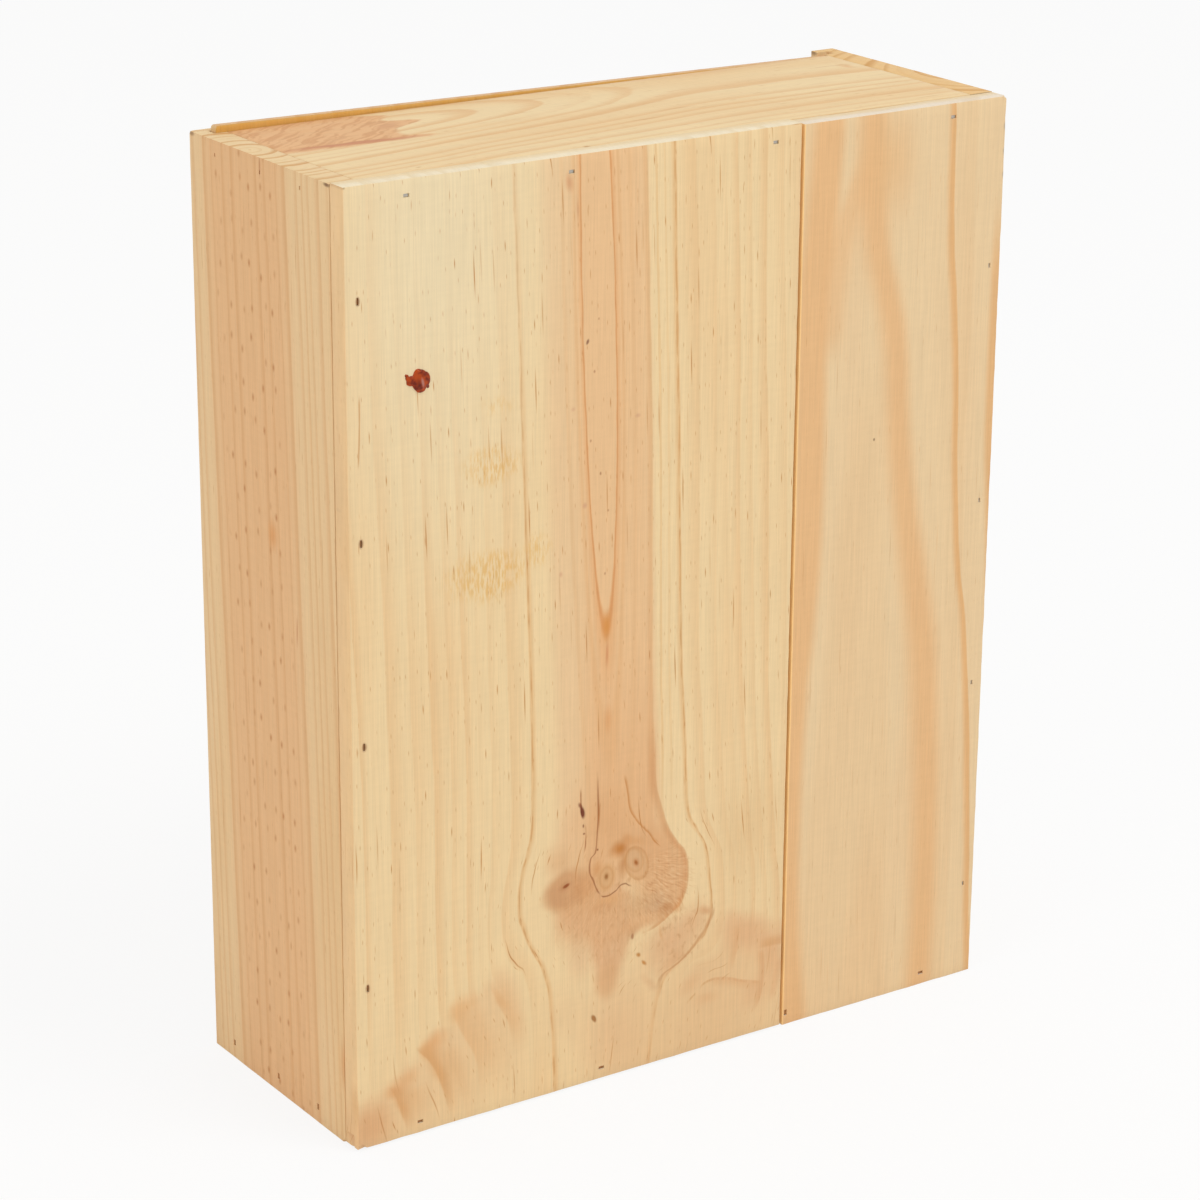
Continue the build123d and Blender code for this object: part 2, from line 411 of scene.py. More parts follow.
def makeLid(look):
    low, high = nodeBox("sliding_lid")
    lid = blank("slidingLid", low, (high[0], high[1], look["leftTop"]))
    pick(lid, "VERT", lambda spot: spot.x > 0 and spot.z > 300)
    bpy.ops.transform.translate(value=(0, 0, (look["rightTop"] - look["leftTop"]) * mm))
    bpy.ops.object.mode_set(mode="OBJECT")
    pick(lid, "EDGE", lambda a, b: min(a.z, b.z) > 300 and abs(a.x - b.x) < 1)
    bpy.ops.mesh.bevel(offset=look["corner"] * mm, segments=5, affect="EDGES")
    bpy.ops.object.mode_set(mode="OBJECT")
    pick(lid, "EDGE",
         lambda a, b: min(a.z, b.z) > 330 and min(a.y, b.y) > high[1] - 0.1 and abs(a.x - b.x) > 1)
    bpy.ops.mesh.bevel(offset=look["planed"] * mm, segments=1, affect="EDGES")
    bpy.ops.object.mode_set(mode="OBJECT")
    half = look["notchWidth"] / 2
    ball = (half ** 2 + look["notchDepth"] ** 2) / (2 * look["notchDepth"])
    middle = (0, (high[1] + ball - look["notchDepth"]) * mm, look["notchWall"] * mm)
    bpy.ops.mesh.primitive_uv_sphere_add(segments=128, ring_count=64, radius=ball * mm, location=middle)
    scoop = bpy.context.object
    settle(scoop)
    trim(scoop, [(2, look["notchWall"]), (1, high[1] + boardLook["overrun"])])
    cutAway(lid, [scoop])
    roundEdges(lid, look["arris"])
    sliceAcross(lid, 2, look["step"])
    shadeSoft(lid)
    standIn(lid, "sliding_lid", "lid")
    return lid


slidingLid = makeLid(lidLook)
print("lid modelled")

# Bottle dividers, thin sawn boards

dividerLook = {"arris": 0.3, "step": 8.0}  # mm


def makeDivider(name, node):
    piece = blank(name, *nodeBox(node))
    roundEdges(piece, dividerLook["arris"])
    sliceAcross(piece, 2, dividerLook["step"])
    shadeSoft(piece)
    standIn(piece, node, "box")
    return piece


dividers = [makeDivider("divider" + side, node)
            for side, node in (("Left", "bottle_divider_1"), ("Right", "bottle_divider_2"))]
print("dividers modelled")

# Resin bead that has bled from the wide base board

resinLook = {
    "place": (-108.4, -51.0, 273.0),  # mm, on the board's face
    "lumps": [(0.4, 0, 3.2, 1.25, 3.8), (2.4, 0.1, 1.9, 1, 2.7), (-0.4, 1.8, 1.9, 0.9, 2.3),
              (0.6, -2.4, 2.2, 0.8, 1.8), (-3, 0.3, 1.9, 0.7, 1.8), (-4.5, 1.6, 0.7, 0.4, 1.2),
              (-5, 2.4, 0.4, 0.3, 0.6), (-4.1, -0.2, 0.8, 0.45, 0.9), (3.4, -2.4, 0.55, 0.4, 0.7)],
    "grain": 0.22,  # mm, cell of the mesh that joins the lumps
    "sunk": 0.08,  # mm below the face
    "fine": 1e-7,  # m, well under a cell, or the cut leaves doubled faces
}


def makeResin(look):
    lumps = []
    for x, z, wide, thick, tall in look["lumps"]:
        deselectAll()
        middle = [(a + b) * mm for a, b in zip(look["place"], (x, 0, z))]
        bpy.ops.mesh.primitive_uv_sphere_add(segments=24, ring_count=12, radius=mm, location=middle,
                                             scale=(wide, thick, tall))
        settle(bpy.context.object)
        lumps.append(bpy.context.object)
    useOnly(lumps[0])
    for lump in lumps:
        lump.select_set(True)
    bpy.ops.object.join()
    bead = bpy.context.object
    bead.name = "resinBead"
    applyModifier(bead, "REMESH", mode="VOXEL", voxel_size=look["grain"] * mm)
    applyModifier(bead, "SMOOTH", factor=0.5, iterations=4)
    trim(bead, [(1, look["place"][1] + look["sunk"])], threshold=look["fine"])
    shadeSoft(bead, 50)
    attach(bead, "box")
    return bead


resinBead = makeResin(resinLook)
print("resin modelled")

# Bare planed pine: pale yellow sapwood with soft wide rings, pinker by the pith, dull to the light

pineLook = {
    "seeds": {"bend": 0, "wander": 1, "fibre": 2, "patch": 3, "ripples": 4, "longDash": 0, "shortDash": 5,
              "speck": 9},  # added to a board's own seed
    "roughness": 0.6,
    "ior": 1.5,
    "gloss": 0.3,  # a bare planed face scatters most of its shine
    "fibre": (0.5, 2.0, 22.0),  # mm across, through and along, coarser than real fibres so that they show
    "fibreDepth": 0.06,  # share of the brightness
    "ripples": (9.0, 9.0, 1.6),  # mm, faint planer marks across the grain
    "rippleDepth": 0.012,
    "wander": (1.6, 3.0, 14.0),  # mm, small waves in the rings
    "fibreBump": (0.35, 0.00012),  # strength, and depth in m
    "endBackShare": 0.85,
    "patch": (22.0, 22.0, 130.0),  # mm, slow changes of tone
    "longDash": (4.4, 130.0, 0.07),  # mm between resin canals across and along, and the share they fill
    "shortDash": (4.8, 42.0, 0.055),
    "speck": (2.2, 12.0, 0.1),
    "speckShare": 0.6,  # of the canals' share
    "dashTone": "#BC7A36",
}


def grainNoise(tree, grain, size, seed, detail=1.0):  # blobs of a real size in mm, drawn out along the grain
    shrunk = vectors(tree, "DIVIDE", grain, size)
    return addNode(tree, "TexNoise", {"noise_dimensions": "4D", "W": seed, "Scale": 1.0, "Detail": detail},
                   {"Vector": shrunk})


def lateWood(tree, radius, look):  # the dark end of each ring, every ring with its own strength
    slow = {"noise_dimensions": "1D", "Scale": 0.31 / look["ringGap"], "Detail": 0.0}  # over about 3 rings
    uneven = addNode(tree, "TexNoise", slow, {"W": radius})
    turns = maths(tree, "DIVIDE", radius, look["ringGap"])
    shifted = maths(tree, "MULTIPLY_ADD", uneven, 1.6, turns)
    phase = maths(tree, "FRACT", shifted)
    number = maths(tree, "FLOOR", shifted)
    luck = addNode(tree, "TexWhiteNoise", {"noise_dimensions": "1D"}, {"W": number})
    strength = rescale(tree, luck.outputs["Value"], 0.0, 1.0, look["weakRing"], 1.0)
    rise = ease(tree, phase, look["ringRise"], 0.9)
    drop = ease(tree, phase, 0.9, 1.0, 1.0, 0.0)
    ring = maths(tree, "MULTIPLY", rise, drop)
    return maths(tree, "MULTIPLY", ring, strength)


def dashes(tree, part, size, seed):  # thin dark resin canals, cut along their length
    wide, tall, share = size
    leant = maths(tree, "MULTIPLY_ADD", part["depth"], 1.7, part.get("follow", part["across"]))
    flat = join(tree, leant, part["along"])
    shift = {"Location": (seed * 3.1, seed * 1.7, 0), "Scale": (1 / wide, 1 / tall, 1)}
    cells = addNode(tree, "Mapping", shift, {0: flat})
    spots = addNode(tree, "TexVoronoi", {"voronoi_dimensions": "2D", "Scale": 1.0}, {"Vector": cells})
    luck = addNode(tree, "SeparateColor", links={0: spots.outputs["Color"]})
    shown = rescale(tree, luck, 0.3, 0.9)
    body = rescale(tree, spots.outputs["Distance"], share * 0.2, share, 1.0, 0.0)
    return maths(tree, "MULTIPLY", body, shown)


def tint(tree, colour, mask, tone, share=1.0):  # a share of a tone where the mask is 1
    amount = addNode(tree, "Math", {"operation": "MULTIPLY", 1: share, "use_clamp": True}, {0: mask})
    return blend(tree, amount, colour, tone)


# each spot has x, z, half width and half height in mm, turn in degrees, soft share, tone and its share
def paintSpots(tree, colour, plane, spots):
    for x, z, wide, tall, turn, soft, tone, share, *deep in spots:
        middle, thick = deep or (0.0, 1e6)  # a few also have a middle and half depth in the board's thickness
        oval = {"vector_type": "TEXTURE", "Location": (x, z, middle), "Rotation": (0, 0, math.radians(turn)),
                "Scale": (wide, tall, thick)}
        there = addNode(tree, "Mapping", oval, {0: plane})
        ball = addNode(tree, "TexGradient", {"gradient_type": "SPHERICAL"}, {0: there})
        mask = ease(tree, ball.outputs["Fac"], 0.0, soft)
        colour = tint(tree, colour, mask, tone, share)
    return colour


def shove(tree, plane, noise, reach):  # pushes a plane about by a noise, up to half the reach in mm each way
    parted = addNode(tree, "SeparateColor", links={0: noise.outputs["Color"]})
    either = join(tree, parted.outputs[0], parted.outputs[1])
    shift = vectors(tree, "MULTIPLY_ADD", either, reach, [-v / 2 for v in reach])
    return vectors(tree, "ADD", plane, shift)


def band(tree, away, edges):  # 1 between the two inner edges, fading to 0 at the outer ones
    rise = ease(tree, away, edges[0], edges[1])
    fall = ease(tree, away, edges[2], edges[3], 1.0, 0.0)
    return maths(tree, "MULTIPLY", rise, fall)


def handLine(tree, run, points):  # where a line drawn through points is, in mm
    first, last = points[0][0], points[-1][0]
    low = min(v for r, v in points) - 1.0
    span = max(v for r, v in points) - low + 1.0
    share = rescale(tree, run, first, last)
    spots = [((r - first) / (last - first), (v - low) / span) for r, v in points]
    curve = addNode(tree, "FloatCurve", {"points": spots}, {"Value": share})
    return maths(tree, "MULTIPLY_ADD", curve, span, low)


def paintLines(tree, colour, part, lines):
    for line in lines:
        run, side = (part["x"], part["z"]) if line.get("level") else (part["z"], part["x"])
        points = line["points"]
        away = maths(tree, "SUBTRACT", side, handLine(tree, run, points))
        mask = band(tree, away, line["edges"])
        taper = line.get("taper", (4.0, 4.0))  # mm over which the first and the last end thin out
        if taper:
            first, last = points[0][0], points[-1][0]
            ends = band(tree, run, (first, first + taper[0], last - taper[1], last))
            mask = maths(tree, "MULTIPLY", mask, ends)
        if line.get("broken"):
            mask = maths(tree, "MULTIPLY", mask, part["gaps"])
        colour = tint(tree, colour, mask, line["tone"], line["share"])
    return colour


def pithField(tree, part, look):  # distance in mm from the pith, which may lean as it goes along the board
    pith = vectors(tree, "MULTIPLY_ADD", part["along"], (*look["lean"], 0), (*look["pith"], 0))
    out = vectors(tree, "SUBTRACT", part["grain"], pith)
    flat = vectors(tree, "MULTIPLY", out, (1, 1, 0))
    return vectors(tree, "LENGTH", flat).outputs["Value"]


def makePine(name, look, field=pithField, marks=None):
    material, tree = newMaterial(name)
    seeds = {key: look["seed"] + more for key, more in pineLook["seeds"].items()}
    place = addNode(tree, "TexCoord")
    milli = addNode(tree, "VectorMath", {"operation": "SCALE", "Scale": 1000.0}, {0: place.outputs["Object"]})
    axes = split(tree, milli)
    part = dict(zip(("across", "depth", "along"), (axes[letter] for letter in look["axes"])))
    part["grain"] = join(tree, part["across"], part["depth"], part["along"])
    slow = grainNoise(tree, part["grain"], look["bendSize"], seeds["bend"])
    bend = rescale(tree, slow, 0.2, 0.8, -look["bend"], look["bend"], clamp=False)
    fine = grainNoise(tree, part["grain"], pineLook["wander"], seeds["wander"], 2.0)
    ripple = rescale(tree, fine, 0.2, 0.8, -look["ripple"], look["ripple"], clamp=False)
    part["bend"] = maths(tree, "ADD", bend, ripple)
    part["ripple"] = ripple
    fibre = grainNoise(tree, part["grain"], pineLook["fibre"], seeds["fibre"], 2.0)

    radius = maths(tree, "ADD", field(tree, part, look), part["bend"])
    part["radius"] = radius
    late = lateWood(tree, radius, look)
    if "ringMask" in part:
        late = maths(tree, "MULTIPLY", late, part["ringMask"])
    patches = grainNoise(tree, part["grain"], pineLook["patch"], seeds["patch"])
    pinker = ease(tree, patches, 0.4, 0.75)
    base = blend(tree, pinker, look["early"], look["patchTone"])
    if look.get("heart"):
        inside = ease(tree, radius, *look["heart"], 1.0, 0.0)
        base = tint(tree, base, inside, look["heartTone"], look["heartShare"])
    colour = tint(tree, base, late, look["late"], look["lateShare"])
    if marks:
        colour = marks(tree, part, look, colour)
    canals = [dashes(tree, part, pineLook[key], seeds[key]) for key in ("longDash", "shortDash")]
    canals = maths(tree, "MAXIMUM", *canals)
    colour = tint(tree, colour, canals, pineLook["dashTone"], look["dashShare"])
    specks = dashes(tree, part, pineLook["speck"], seeds["speck"])
    colour = tint(tree, colour, specks, pineLook["dashTone"], look["dashShare"] * pineLook["speckShare"])

    # sawn ends: darker, with the rings as short lines
    facing = split(tree, place.outputs["Normal"])
    turned = maths(tree, "ABSOLUTE", facing[look["axes"][2]])
    sawn = ease(tree, turned, 0.6, 0.9)
    endTone = blend(tree, late, look["endEarly"], look["endLate"])
    if look.get("endBack"):
        rear = ease(tree, part["depth"], *look["endBack"])
        endTone = tint(tree, endTone, rear, look["endBackTone"], pineLook["endBackShare"])
    colour = blend(tree, sawn, colour, endTone)

    planed = grainNoise(tree, part["grain"], pineLook["ripples"], seeds["ripples"])
    streak = rescale(tree, fibre, 0.25, 0.75, 1 - pineLook["fibreDepth"], 1 + pineLook["fibreDepth"])
    chatter = rescale(tree, planed, 0.3, 0.7, 1 - pineLook["rippleDepth"], 1 + pineLook["rippleDepth"])
    bright = maths(tree, "MULTIPLY", streak, chatter)
    colour = addNode(tree, "VectorMath", {"operation": "SCALE"}, {0: colour, "Scale": bright})
    strength, deep = pineLook["fibreBump"]
    bump = addNode(tree, "Bump", {"Strength": strength, "Distance": deep}, {"Height": fibre})
    skin = addNode(tree, "BsdfPrincipled", {"Roughness": pineLook["roughness"], "IOR": pineLook["ior"],
                                             "Specular IOR Level": pineLook["gloss"]},
                   {"Base Color": colour, "Normal": bump})
    addNode(tree, "OutputMaterial", links={0: skin})
    return material


def dress(piece, material):
    piece.data.materials.clear()
    piece.data.materials.append(material)


# Wide base board: a flat-sawn heart board, its pink core down the middle and three knots low in it

wideLook = {
    "axes": "XYZ", "seed": 3.0,
    "early": "#ECD0A0", "patchTone": "#EACA99", "late": "#E2B681", "lateShare": 0.55,
    "endEarly": "#EEDFC0", "endLate": "#E6D2AC", "endBack": (-48.5, -44.0), "endBackTone": "#E9CFA0",
    "ringGap": 6.6, "ringRise": 0.2, "weakRing": 0.1,
    "bend": 1.1, "bendSize": (16.0, 16.0, 110.0), "ripple": 0.3,
    "dashShare": 0.9,
    "leftLine": [(0, -54.4), (32.9, -56.2), (48.4, -59.1), (57.3, -63.5), (68.4, -68), (79.6, -69.8),
                 (88.4, -68.6), (97.3, -65.8), (108.4, -64.2), (150.7, -64.6), (199.6, -66.4), (244, -68),
                 (299.6, -70), (341, -71.8)],
    "rightLine": [(0, -14.2), (21.8, -11.3), (30.7, -8.6), (35.1, -5.8), (38.4, -0.2), (45.1, 7.6),
                  (54, 13.1), (60.7, 14.7), (68.4, 13.6), (81.8, 10.9), (89.6, 5.4), (99.6, 1.6),
                  (121.8, 0.2), (155.1, -2), (188.4, -3.1), (244, -4.6), (288.4, -6.2), (341, -7.8)],
    "leftFar": [(0, -50), (30, -55), (55, -61.5), (75, -64.2), (100, -64.6), (150.7, -64.8), (199.6, -66.4),
                (341, -71.8)],
    "rightFar": [(0, -4), (30, 1), (50, 5), (70, 6), (90, 3.6), (121.8, 0.4), (155.1, -2), (188.4, -3.1),
                 (244, -4.6), (341, -7.8)],
    "farReach": 26.0,  # mm outside the dark lines where the rings no longer follow the knots
    # each side: mm where its rings begin to turn lower, which way is out, and how much lower each one turns
    "sides": (("left", -68.0, -1.0, 0.75), ("right", 6.0, 1.0, 0.5)),
    "core": 32.0,  # mm from the pith out to those two lines
    "ringStart": 3.0,  # mm outside them where the rings are at full strength
    "ringFoot": (20.0, 62.0, 0.25, 1.0),  # mm of height over which the rings gain from a quarter strength
    "firstRadius": 60.0,  # mm, where the count of rings starts
    "pithDepth": (17.39, -0.0612),  # mm behind the face at the foot, and its change per mm of height
    "coreLines": [
        {"at": 6.8, "edges": (-0.5, -0.1, 0.2, 2.2), "tone": "#E2A266", "share": 0.45},
        {"at": 6.8, "edges": (-0.4, -0.05, 0.05, 0.4), "tone": "#CC8444", "share": 0.6},
        {"at": 9.3, "edges": (-0.8, -0.1, 0.1, 1.4), "tone": "#DDA76E", "share": 0.35},
        {"at": 14, "edges": (-1.6, -0.2, 0.2, 1), "tone": "#DDAE7A", "share": 0.3},
        {"at": 20.5, "edges": (-2.4, -0.3, 0.2, 0.9), "tone": "#D8A26C", "share": 0.5, "right": True},
        {"at": 24.5, "edges": (-0.8, -0.2, 0.2, 0.6), "tone": "#DBA768", "share": 0.35, "right": True},
        {"at": 28, "edges": (-0.8, -0.2, 0.2, 0.6), "tone": "#DBA768", "share": 0.2, "right": True},
    ],
}


def wideField(tree, part, look):  # distance outside the two dark ring lines, which are drawn
    sides = []
    for side, edge, sign, spread in look["sides"]:
        beyond = maths(tree, "SUBTRACT", part["across"], edge)
        outer = maths(tree, "MULTIPLY", beyond, sign * spread)
        lift = maths(tree, "MAXIMUM", outer, 0.0)
        height = maths(tree, "ADD", part["along"], lift)
        far = ease(tree, lift, 0.0, look["farReach"] * spread)
        near = handLine(tree, height, look[side + "Line"])
        calm = handLine(tree, height, look[side + "Far"])
        sides.append(addNode(tree, "Mix", links={0: far, 2: near, 3: calm}))
    left, right = sides
    leftGap = maths(tree, "SUBTRACT", left, part["across"])
    rightGap = maths(tree, "SUBTRACT", part["across"], right)
    outside = maths(tree, "MAXIMUM", leftGap, rightGap)
    width = maths(tree, "SUBTRACT", right, left)
    lean = maths(tree, "SUBTRACT", rightGap, leftGap)
    share = maths(tree, "DIVIDE", lean, width)
    part["sideways"] = maths(tree, "MULTIPLY_ADD", share, look["core"], part["ripple"])
    behind = maths(tree, "MULTIPLY_ADD", part["along"], look["pithDepth"][1], look["pithDepth"][0])
    flat = join(tree, part["sideways"], behind)
    part["inner"] = vectors(tree, "LENGTH", flat).outputs["Value"]
    part["outside"] = outside
    turn = maths(tree, "SIGN", lean)
    part["follow"] = maths(tree, "MULTIPLY", outside, turn)
    outer = ease(tree, outside, 0.0, look["ringStart"])
    foot = ease(tree, part["along"], *look["ringFoot"])
    part["ringMask"] = maths(tree, "MULTIPLY", outer, foot)
    return maths(tree, "ADD", outside, look["firstRadius"])


knotEdge = [(53, -18.5), (54.5, -11.9), (58.3, -5), (62.7, 0.1), (69.1, 2), (75.4, 2), (80.5, 0.8),
            (86.2, -3.1), (93.8, -7.5), (101.5, -10), (109.7, -12.2), (125, -13), (140, -14)]
firstFlame = [(1.0, -115.6), (8.0, -117.6), (14.0, -119.4), (19.1, -121.6), (22.0, -124.0)]
secondFlame = [(0.7, -98.0), (10.7, -100.2), (20.7, -103.5), (27.3, -106.9), (31.1, -110.2), (34.6, -113.0)]
wideMarks = {
    "stains": [  # yellow specks in two patches
        (-81, 239.5, 14, 9, 0, 0.6, "#DFA850", 0.85), (-83, 201, 20, 12, 0, 0.6, "#E0AC58", 0.7),
        (-62, 206, 8, 8, 0, 0.8, "#E2B05E", 0.6), (-78, 259.5, 10, 5, 0, 0.9, "#E2B05E", 0.6),
    ],
    "shades": [  # the knots' soft discolouring, with painted light and shade over the whole board
        # painted light: the first spot on the next line pales the upper left, where the lamp falls most
        (-102, 325, 62, 160, 0, 1, "#EBD8B0", 0.9), (-131, 8, 13, 15, -20, 0.9, "#D9A676", 0.8),
        (-29, 18, 24, 34, 0, 1, "#E2BA8C", 0.75), (-31.5, 58, 11.5, 27, 0, 0.5, "#DBAB7D", 0.9),
        (-38, 63, 21, 14, 8, 0.9, "#DDAD7D", 0.9), (-29.1, 64, 17, 10, 0, 0.8, "#DBAC7C", 0.7),
        (-46, 68, 15, 12, -30, 0.8, "#DEAF80", 0.9), (-43, 73, 15, 12, 0, 0.9, "#DBA978", 0.9),
        (-51, 89, 11, 12, 35, 1, "#DFB484", 0.9), (-46, 103, 8, 22, -8, 1, "#E4B98A", 0.8),
        (-33, 101, 16, 18, 0, 1, "#D9A470", 0.45), (-49.5, 78.4, 13.5, 9, 12, 0.5, "#D09C6C", 0.9),
        (-54, 77.2, 6.5, 6.4, 10, 0.8, "#CB986A", 0.6), (-43, 78, 6, 7, 0, 1, "#CB925F", 0.8),
        (-39.5, 80, 9, 12, 0, 0.9, "#DAA572", 0.7), (-44, 50, 9, 14, 0, 1, "#DFB68A", 0.6),
        (-32, 39, 7, 10, 0, 0.8, "#DAA978", 0.8), (-5, 46.5, 18, 13, 28, 0.9, "#DBAC80", 0.85),
        (5, 52, 10, 13, -20, 1, "#DAAB7E", 0.7), (-3, 39.5, 11, 5, 30, 0.9, "#D6A577", 0.8),
        (10, 56.4, 5, 3, -25, 1, "#D3A070", 0.8), (-9.2, 50.8, 1.2, 4, 24, 1, "#D99F66", 0.6),
        (-13, 33, 3, 9, 40, 1, "#D2A074", 0.5), (-116.6, 22.6, 9, 6, 18, 1, "#DFA872", 0.6),
        (-104.6, 33.6, 8.5, 6.5, 45, 1, "#DEA066", 0.65), (-93, 44, 9.5, 6.5, 38, 1, "#E2B078", 0.5),
        (-120.6, 19.6, 7, 4.4, -4, 1, "#D89A62", 0.55), (-118.6, 14, 3, 8, 28, 1, "#DDA872", 0.6),
        (-107.4, 30.4, 4.6, 8, 35, 1, "#DA9C5E", 0.55), (-103.6, 22, 3.4, 9, 24, 1, "#DDAA74", 0.5),
        (-94.6, 43, 5.5, 5, 30, 1, "#E0AC76", 0.5), (-77.4, 43, 2.4, 7, 32, 1, "#E0AE78", 0.6),
        (29, 42.2, 21, 10.5, -28, 0.9, "#DFAF81", 0.8), (40.5, 30, 9, 18, 0, 1, "#DEAC7D", 0.7),
        (33, 17, 12, 9, 20, 1, "#DFB083", 0.6), (4.2, 27.6, 9, 4.5, 25, 1, "#DFB182", 0.7),
        # painted shade: the last spot on the next line and both spots after it darken the lower board, which
        # gets less light
        (11.5, 20.6, 8, 3.6, 0, 1, "#DDAC7C", 0.7), (5, 5, 70, 75, 0, 1, "#DEB687", 0.6),
        (30, 82, 26, 32, 0, 1, "#DEBA88", 0.5), (-50, 30, 13, 18, 0, 1, "#E0BC8E", 0.4),
    ],
    "knotLines": [
        {"points": knotEdge[:10], "edges": (-28, -15, -0.8, 0.6), "tone": "#DBA978", "share": 0.85,
         "taper": (5, 14)},
        {"points": knotEdge, "edges": (-4, -0.5, 0.1, 0.9), "tone": "#CF945F", "share": 0.6,
         "taper": (2, 28)},
    ],
    "knotShades": [
        (-11, 63.5, 8, 7, 20, 1, "#C8A078", 0.6), (-7, 60, 6, 4, 35, 1, "#C48C58", 0.75),
        (-18, 66, 11, 8, 0, 1, "#CDA375", 0.5), (-34, 67.5, 8, 4, 0, 1, "#CF9662", 0.4),
        (-31, 70, 9, 3.5, 0, 1, "#DDA66C", 0.5), (-21.6, 55, 5, 3.4, 30, 1, "#CB9566", 0.6),
        (-2, 60, 4.5, 3, 40, 1, "#D5955A", 0.6), (-28.2, 88.8, 5.4, 4.8, 0, 1, "#C27C36", 0.95),
        (-25, 92, 4, 4, 30, 1, "#CF925A", 0.6), (-26.8, 82, 3.6, 8, 0, 1, "#C88E58", 0.85),
        (-22, 90.5, 8, 3, -20, 1, "#D69C62", 0.5), (-37, 84, 3.4, 4, 0, 1, "#D3965C", 0.7),
        (-38.6, 77.5, 2.2, 5, 0, 1, "#D39A68", 0.6),
    ],
    "eyes": [
        (-50.6, 79.7, 4, 2.4, 20, 1, "#B87C4C", 0.6), (-50, 79.9, 2, 0.9, 20, 0.6, "#92481A", 0.9),
        (-33, 79, 4.6, 6.6, 0, 0.4, "#D8A670", 0.8), (-33, 79, 3.4, 4.8, 0, 0.2, "#C58A52", 0.35),
        (-33, 79, 3, 4.3, 0, 0.4, "#DAAC7A", 0.8), (-33.1, 79.4, 1.9, 2.5, 0, 1, "#B9803F", 0.7),
        (-33.1, 79.4, 1.2, 1.5, 0, 0.9, "#8A4E14", 0.65), (-20, 81.5, 5.2, 7.7, 25, 0.12, "#C48A4E", 0.5),
        (-20, 81.5, 4.8, 7.2, 25, 0.3, "#DCAE7E", 0.8), (-21, 83, 3.9, 5.6, 25, 0.12, "#C89056", 0.35),
        (-21, 83, 3.5, 5.2, 25, 0.4, "#D8AC7E", 0.8), (-20.3, 81.8, 2, 2.9, 30, 1, "#C07C3E", 0.7),
        (-20.3, 81.8, 1, 1.7, 30, 0.9, "#98500E", 0.8), (-43.4, 106.4, 1.3, 3.4, 12, 0.6, "#6A2408", 0.95),
        (-44.4, 109, 1, 1.8, 20, 0.8, "#7A3410", 0.8), (-42.9, 101, 0.6, 1, 0, 0.8, "#7A3A12", 0.8),
        (-42.6, 98, 0.7, 0.6, 0, 0.8, "#8A4A1C", 0.8), (-36.9, 90.6, 0.6, 0.7, 0, 0.8, "#8A4A1C", 0.8),
        (-36.4, 104, 0.9, 8, 0, 1, "#A8662E", 0.8), (-38, 25.3, 1.1, 2.3, 25, 0.6, "#A0682E", 0.9),
        (-18.9, 45.5, 1.5, 1.1, -50, 0.8, "#B8741A", 0.8), (-16.4, 41.8, 2, 0.9, -50, 0.8, "#B8741A", 0.8),
        (-21.6, 53.4, 0.8, 1.6, 0, 0.7, "#A9734A", 0.8),
    ],
    "specks": [
        (-42.4, 276.2, 0.7, 1.4, -20, 0.7, "#8A5F45", 0.9),
        (-39.5, 265.5, 0.6, 0.8, 0, 0.8, "#B4805A", 0.8), (-40.9, 241.4, 0.6, 0.8, 0, 0.8, "#B4805A", 0.7),
        (-36.9, 229.2, 0.7, 0.9, 0, 0.8, "#A9744E", 0.8), (-33.5, 215.5, 0.6, 0.7, 0, 0.8, "#B4805A", 0.7),
        (-34.6, 192.9, 0.6, 0.8, 0, 0.8, "#B4805A", 0.7), (-38, 283.6, 0.5, 0.7, 0, 0.8, "#B4805A", 0.6),
        (-43.2, 218.8, 1.4, 1.6, 0, 1, "#CF9A78", 0.7), (-48, 253.6, 1.5, 1.2, 0, 1, "#CF9A78", 0.5),
        (-21.7, 247.3, 1.8, 1.2, 0, 1, "#CF9A78", 0.6),
        (-136.4, 231.8, 1, 1.5, 0, 0.8, "#A0927F", 0.8, -45, 3),
        (-136.6, 17, 1.8, 12, 0, 0.7, "#C58A4A", 0.8, -49, 5),
        (-136.2, 340.2, 1.8, 0.9, 0, 0.8, "#8A6442", 0.7), (43, 340.6, 3.2, 0.8, 0, 0.8, "#B98450", 0.8),
        (-50, 331.5, 2.2, 5, 10, 1, "#CF8E60", 0.6), (-46.6, 322, 0.8, 5, 0, 1, "#CC9468", 0.6),
        *((-131.0, z, 1.3, 2.2, 0, 0.7, "#8A5630", 0.7) for z in (302.6, 221.0, 149.6, 61.2)),
        (-52.8, 195.9, 1.2, 1.6, 0, 1, "#CF9A78", 0.6), (-33.9, 173.5, 2.8, 7.5, 0, 1, "#D9934A", 0.9),
        (-33.4, 163, 1, 7, 0, 1, "#D38C5A", 0.7), (-32.9, 139, 2.4, 8, 0, 1, "#DC9C62", 0.6),
    ],
    "lines": [
        {"points": [(72.6, -35.4), (75.4, -37), (79.9, -38.9), (84.3, -40.2), (87.5, -39.9), (90, -37.7),
         (98.3, -37), (104.6, -36.7), (114, -36.9), (122, -37.4)], "edges": (-0.55, -0.1, 0.1, 0.55),
         "tone": "#8E4A12", "share": 0.65, "taper": (2, 12)},
        {"points": [(-35.4, 72.7), (-32.9, 71.8), (-29.1, 72.9), (-25.9, 74.8), (-23.4, 73.8),
         (-21.8, 72.6)], "level": True, "edges": (-0.5, -0.05, 0.05, 0.5), "tone": "#84440E", "share": 0.7,
         "taper": (1, 2)},
        {"points": [(89.7, -43.7), (91.3, -42.4), (97, -41.8), (102.7, -42.4), (105.9, -43.7),
         (117, -44.2)], "edges": (-0.5, -0.05, 0.05, 0.5), "tone": "#9C5A26", "share": 0.8, "broken": True},
        {"points": [(85, -10), (88.1, -12.6), (91.9, -15.1), (97, -19.6), (103.4, -23.4), (109, -24.3),
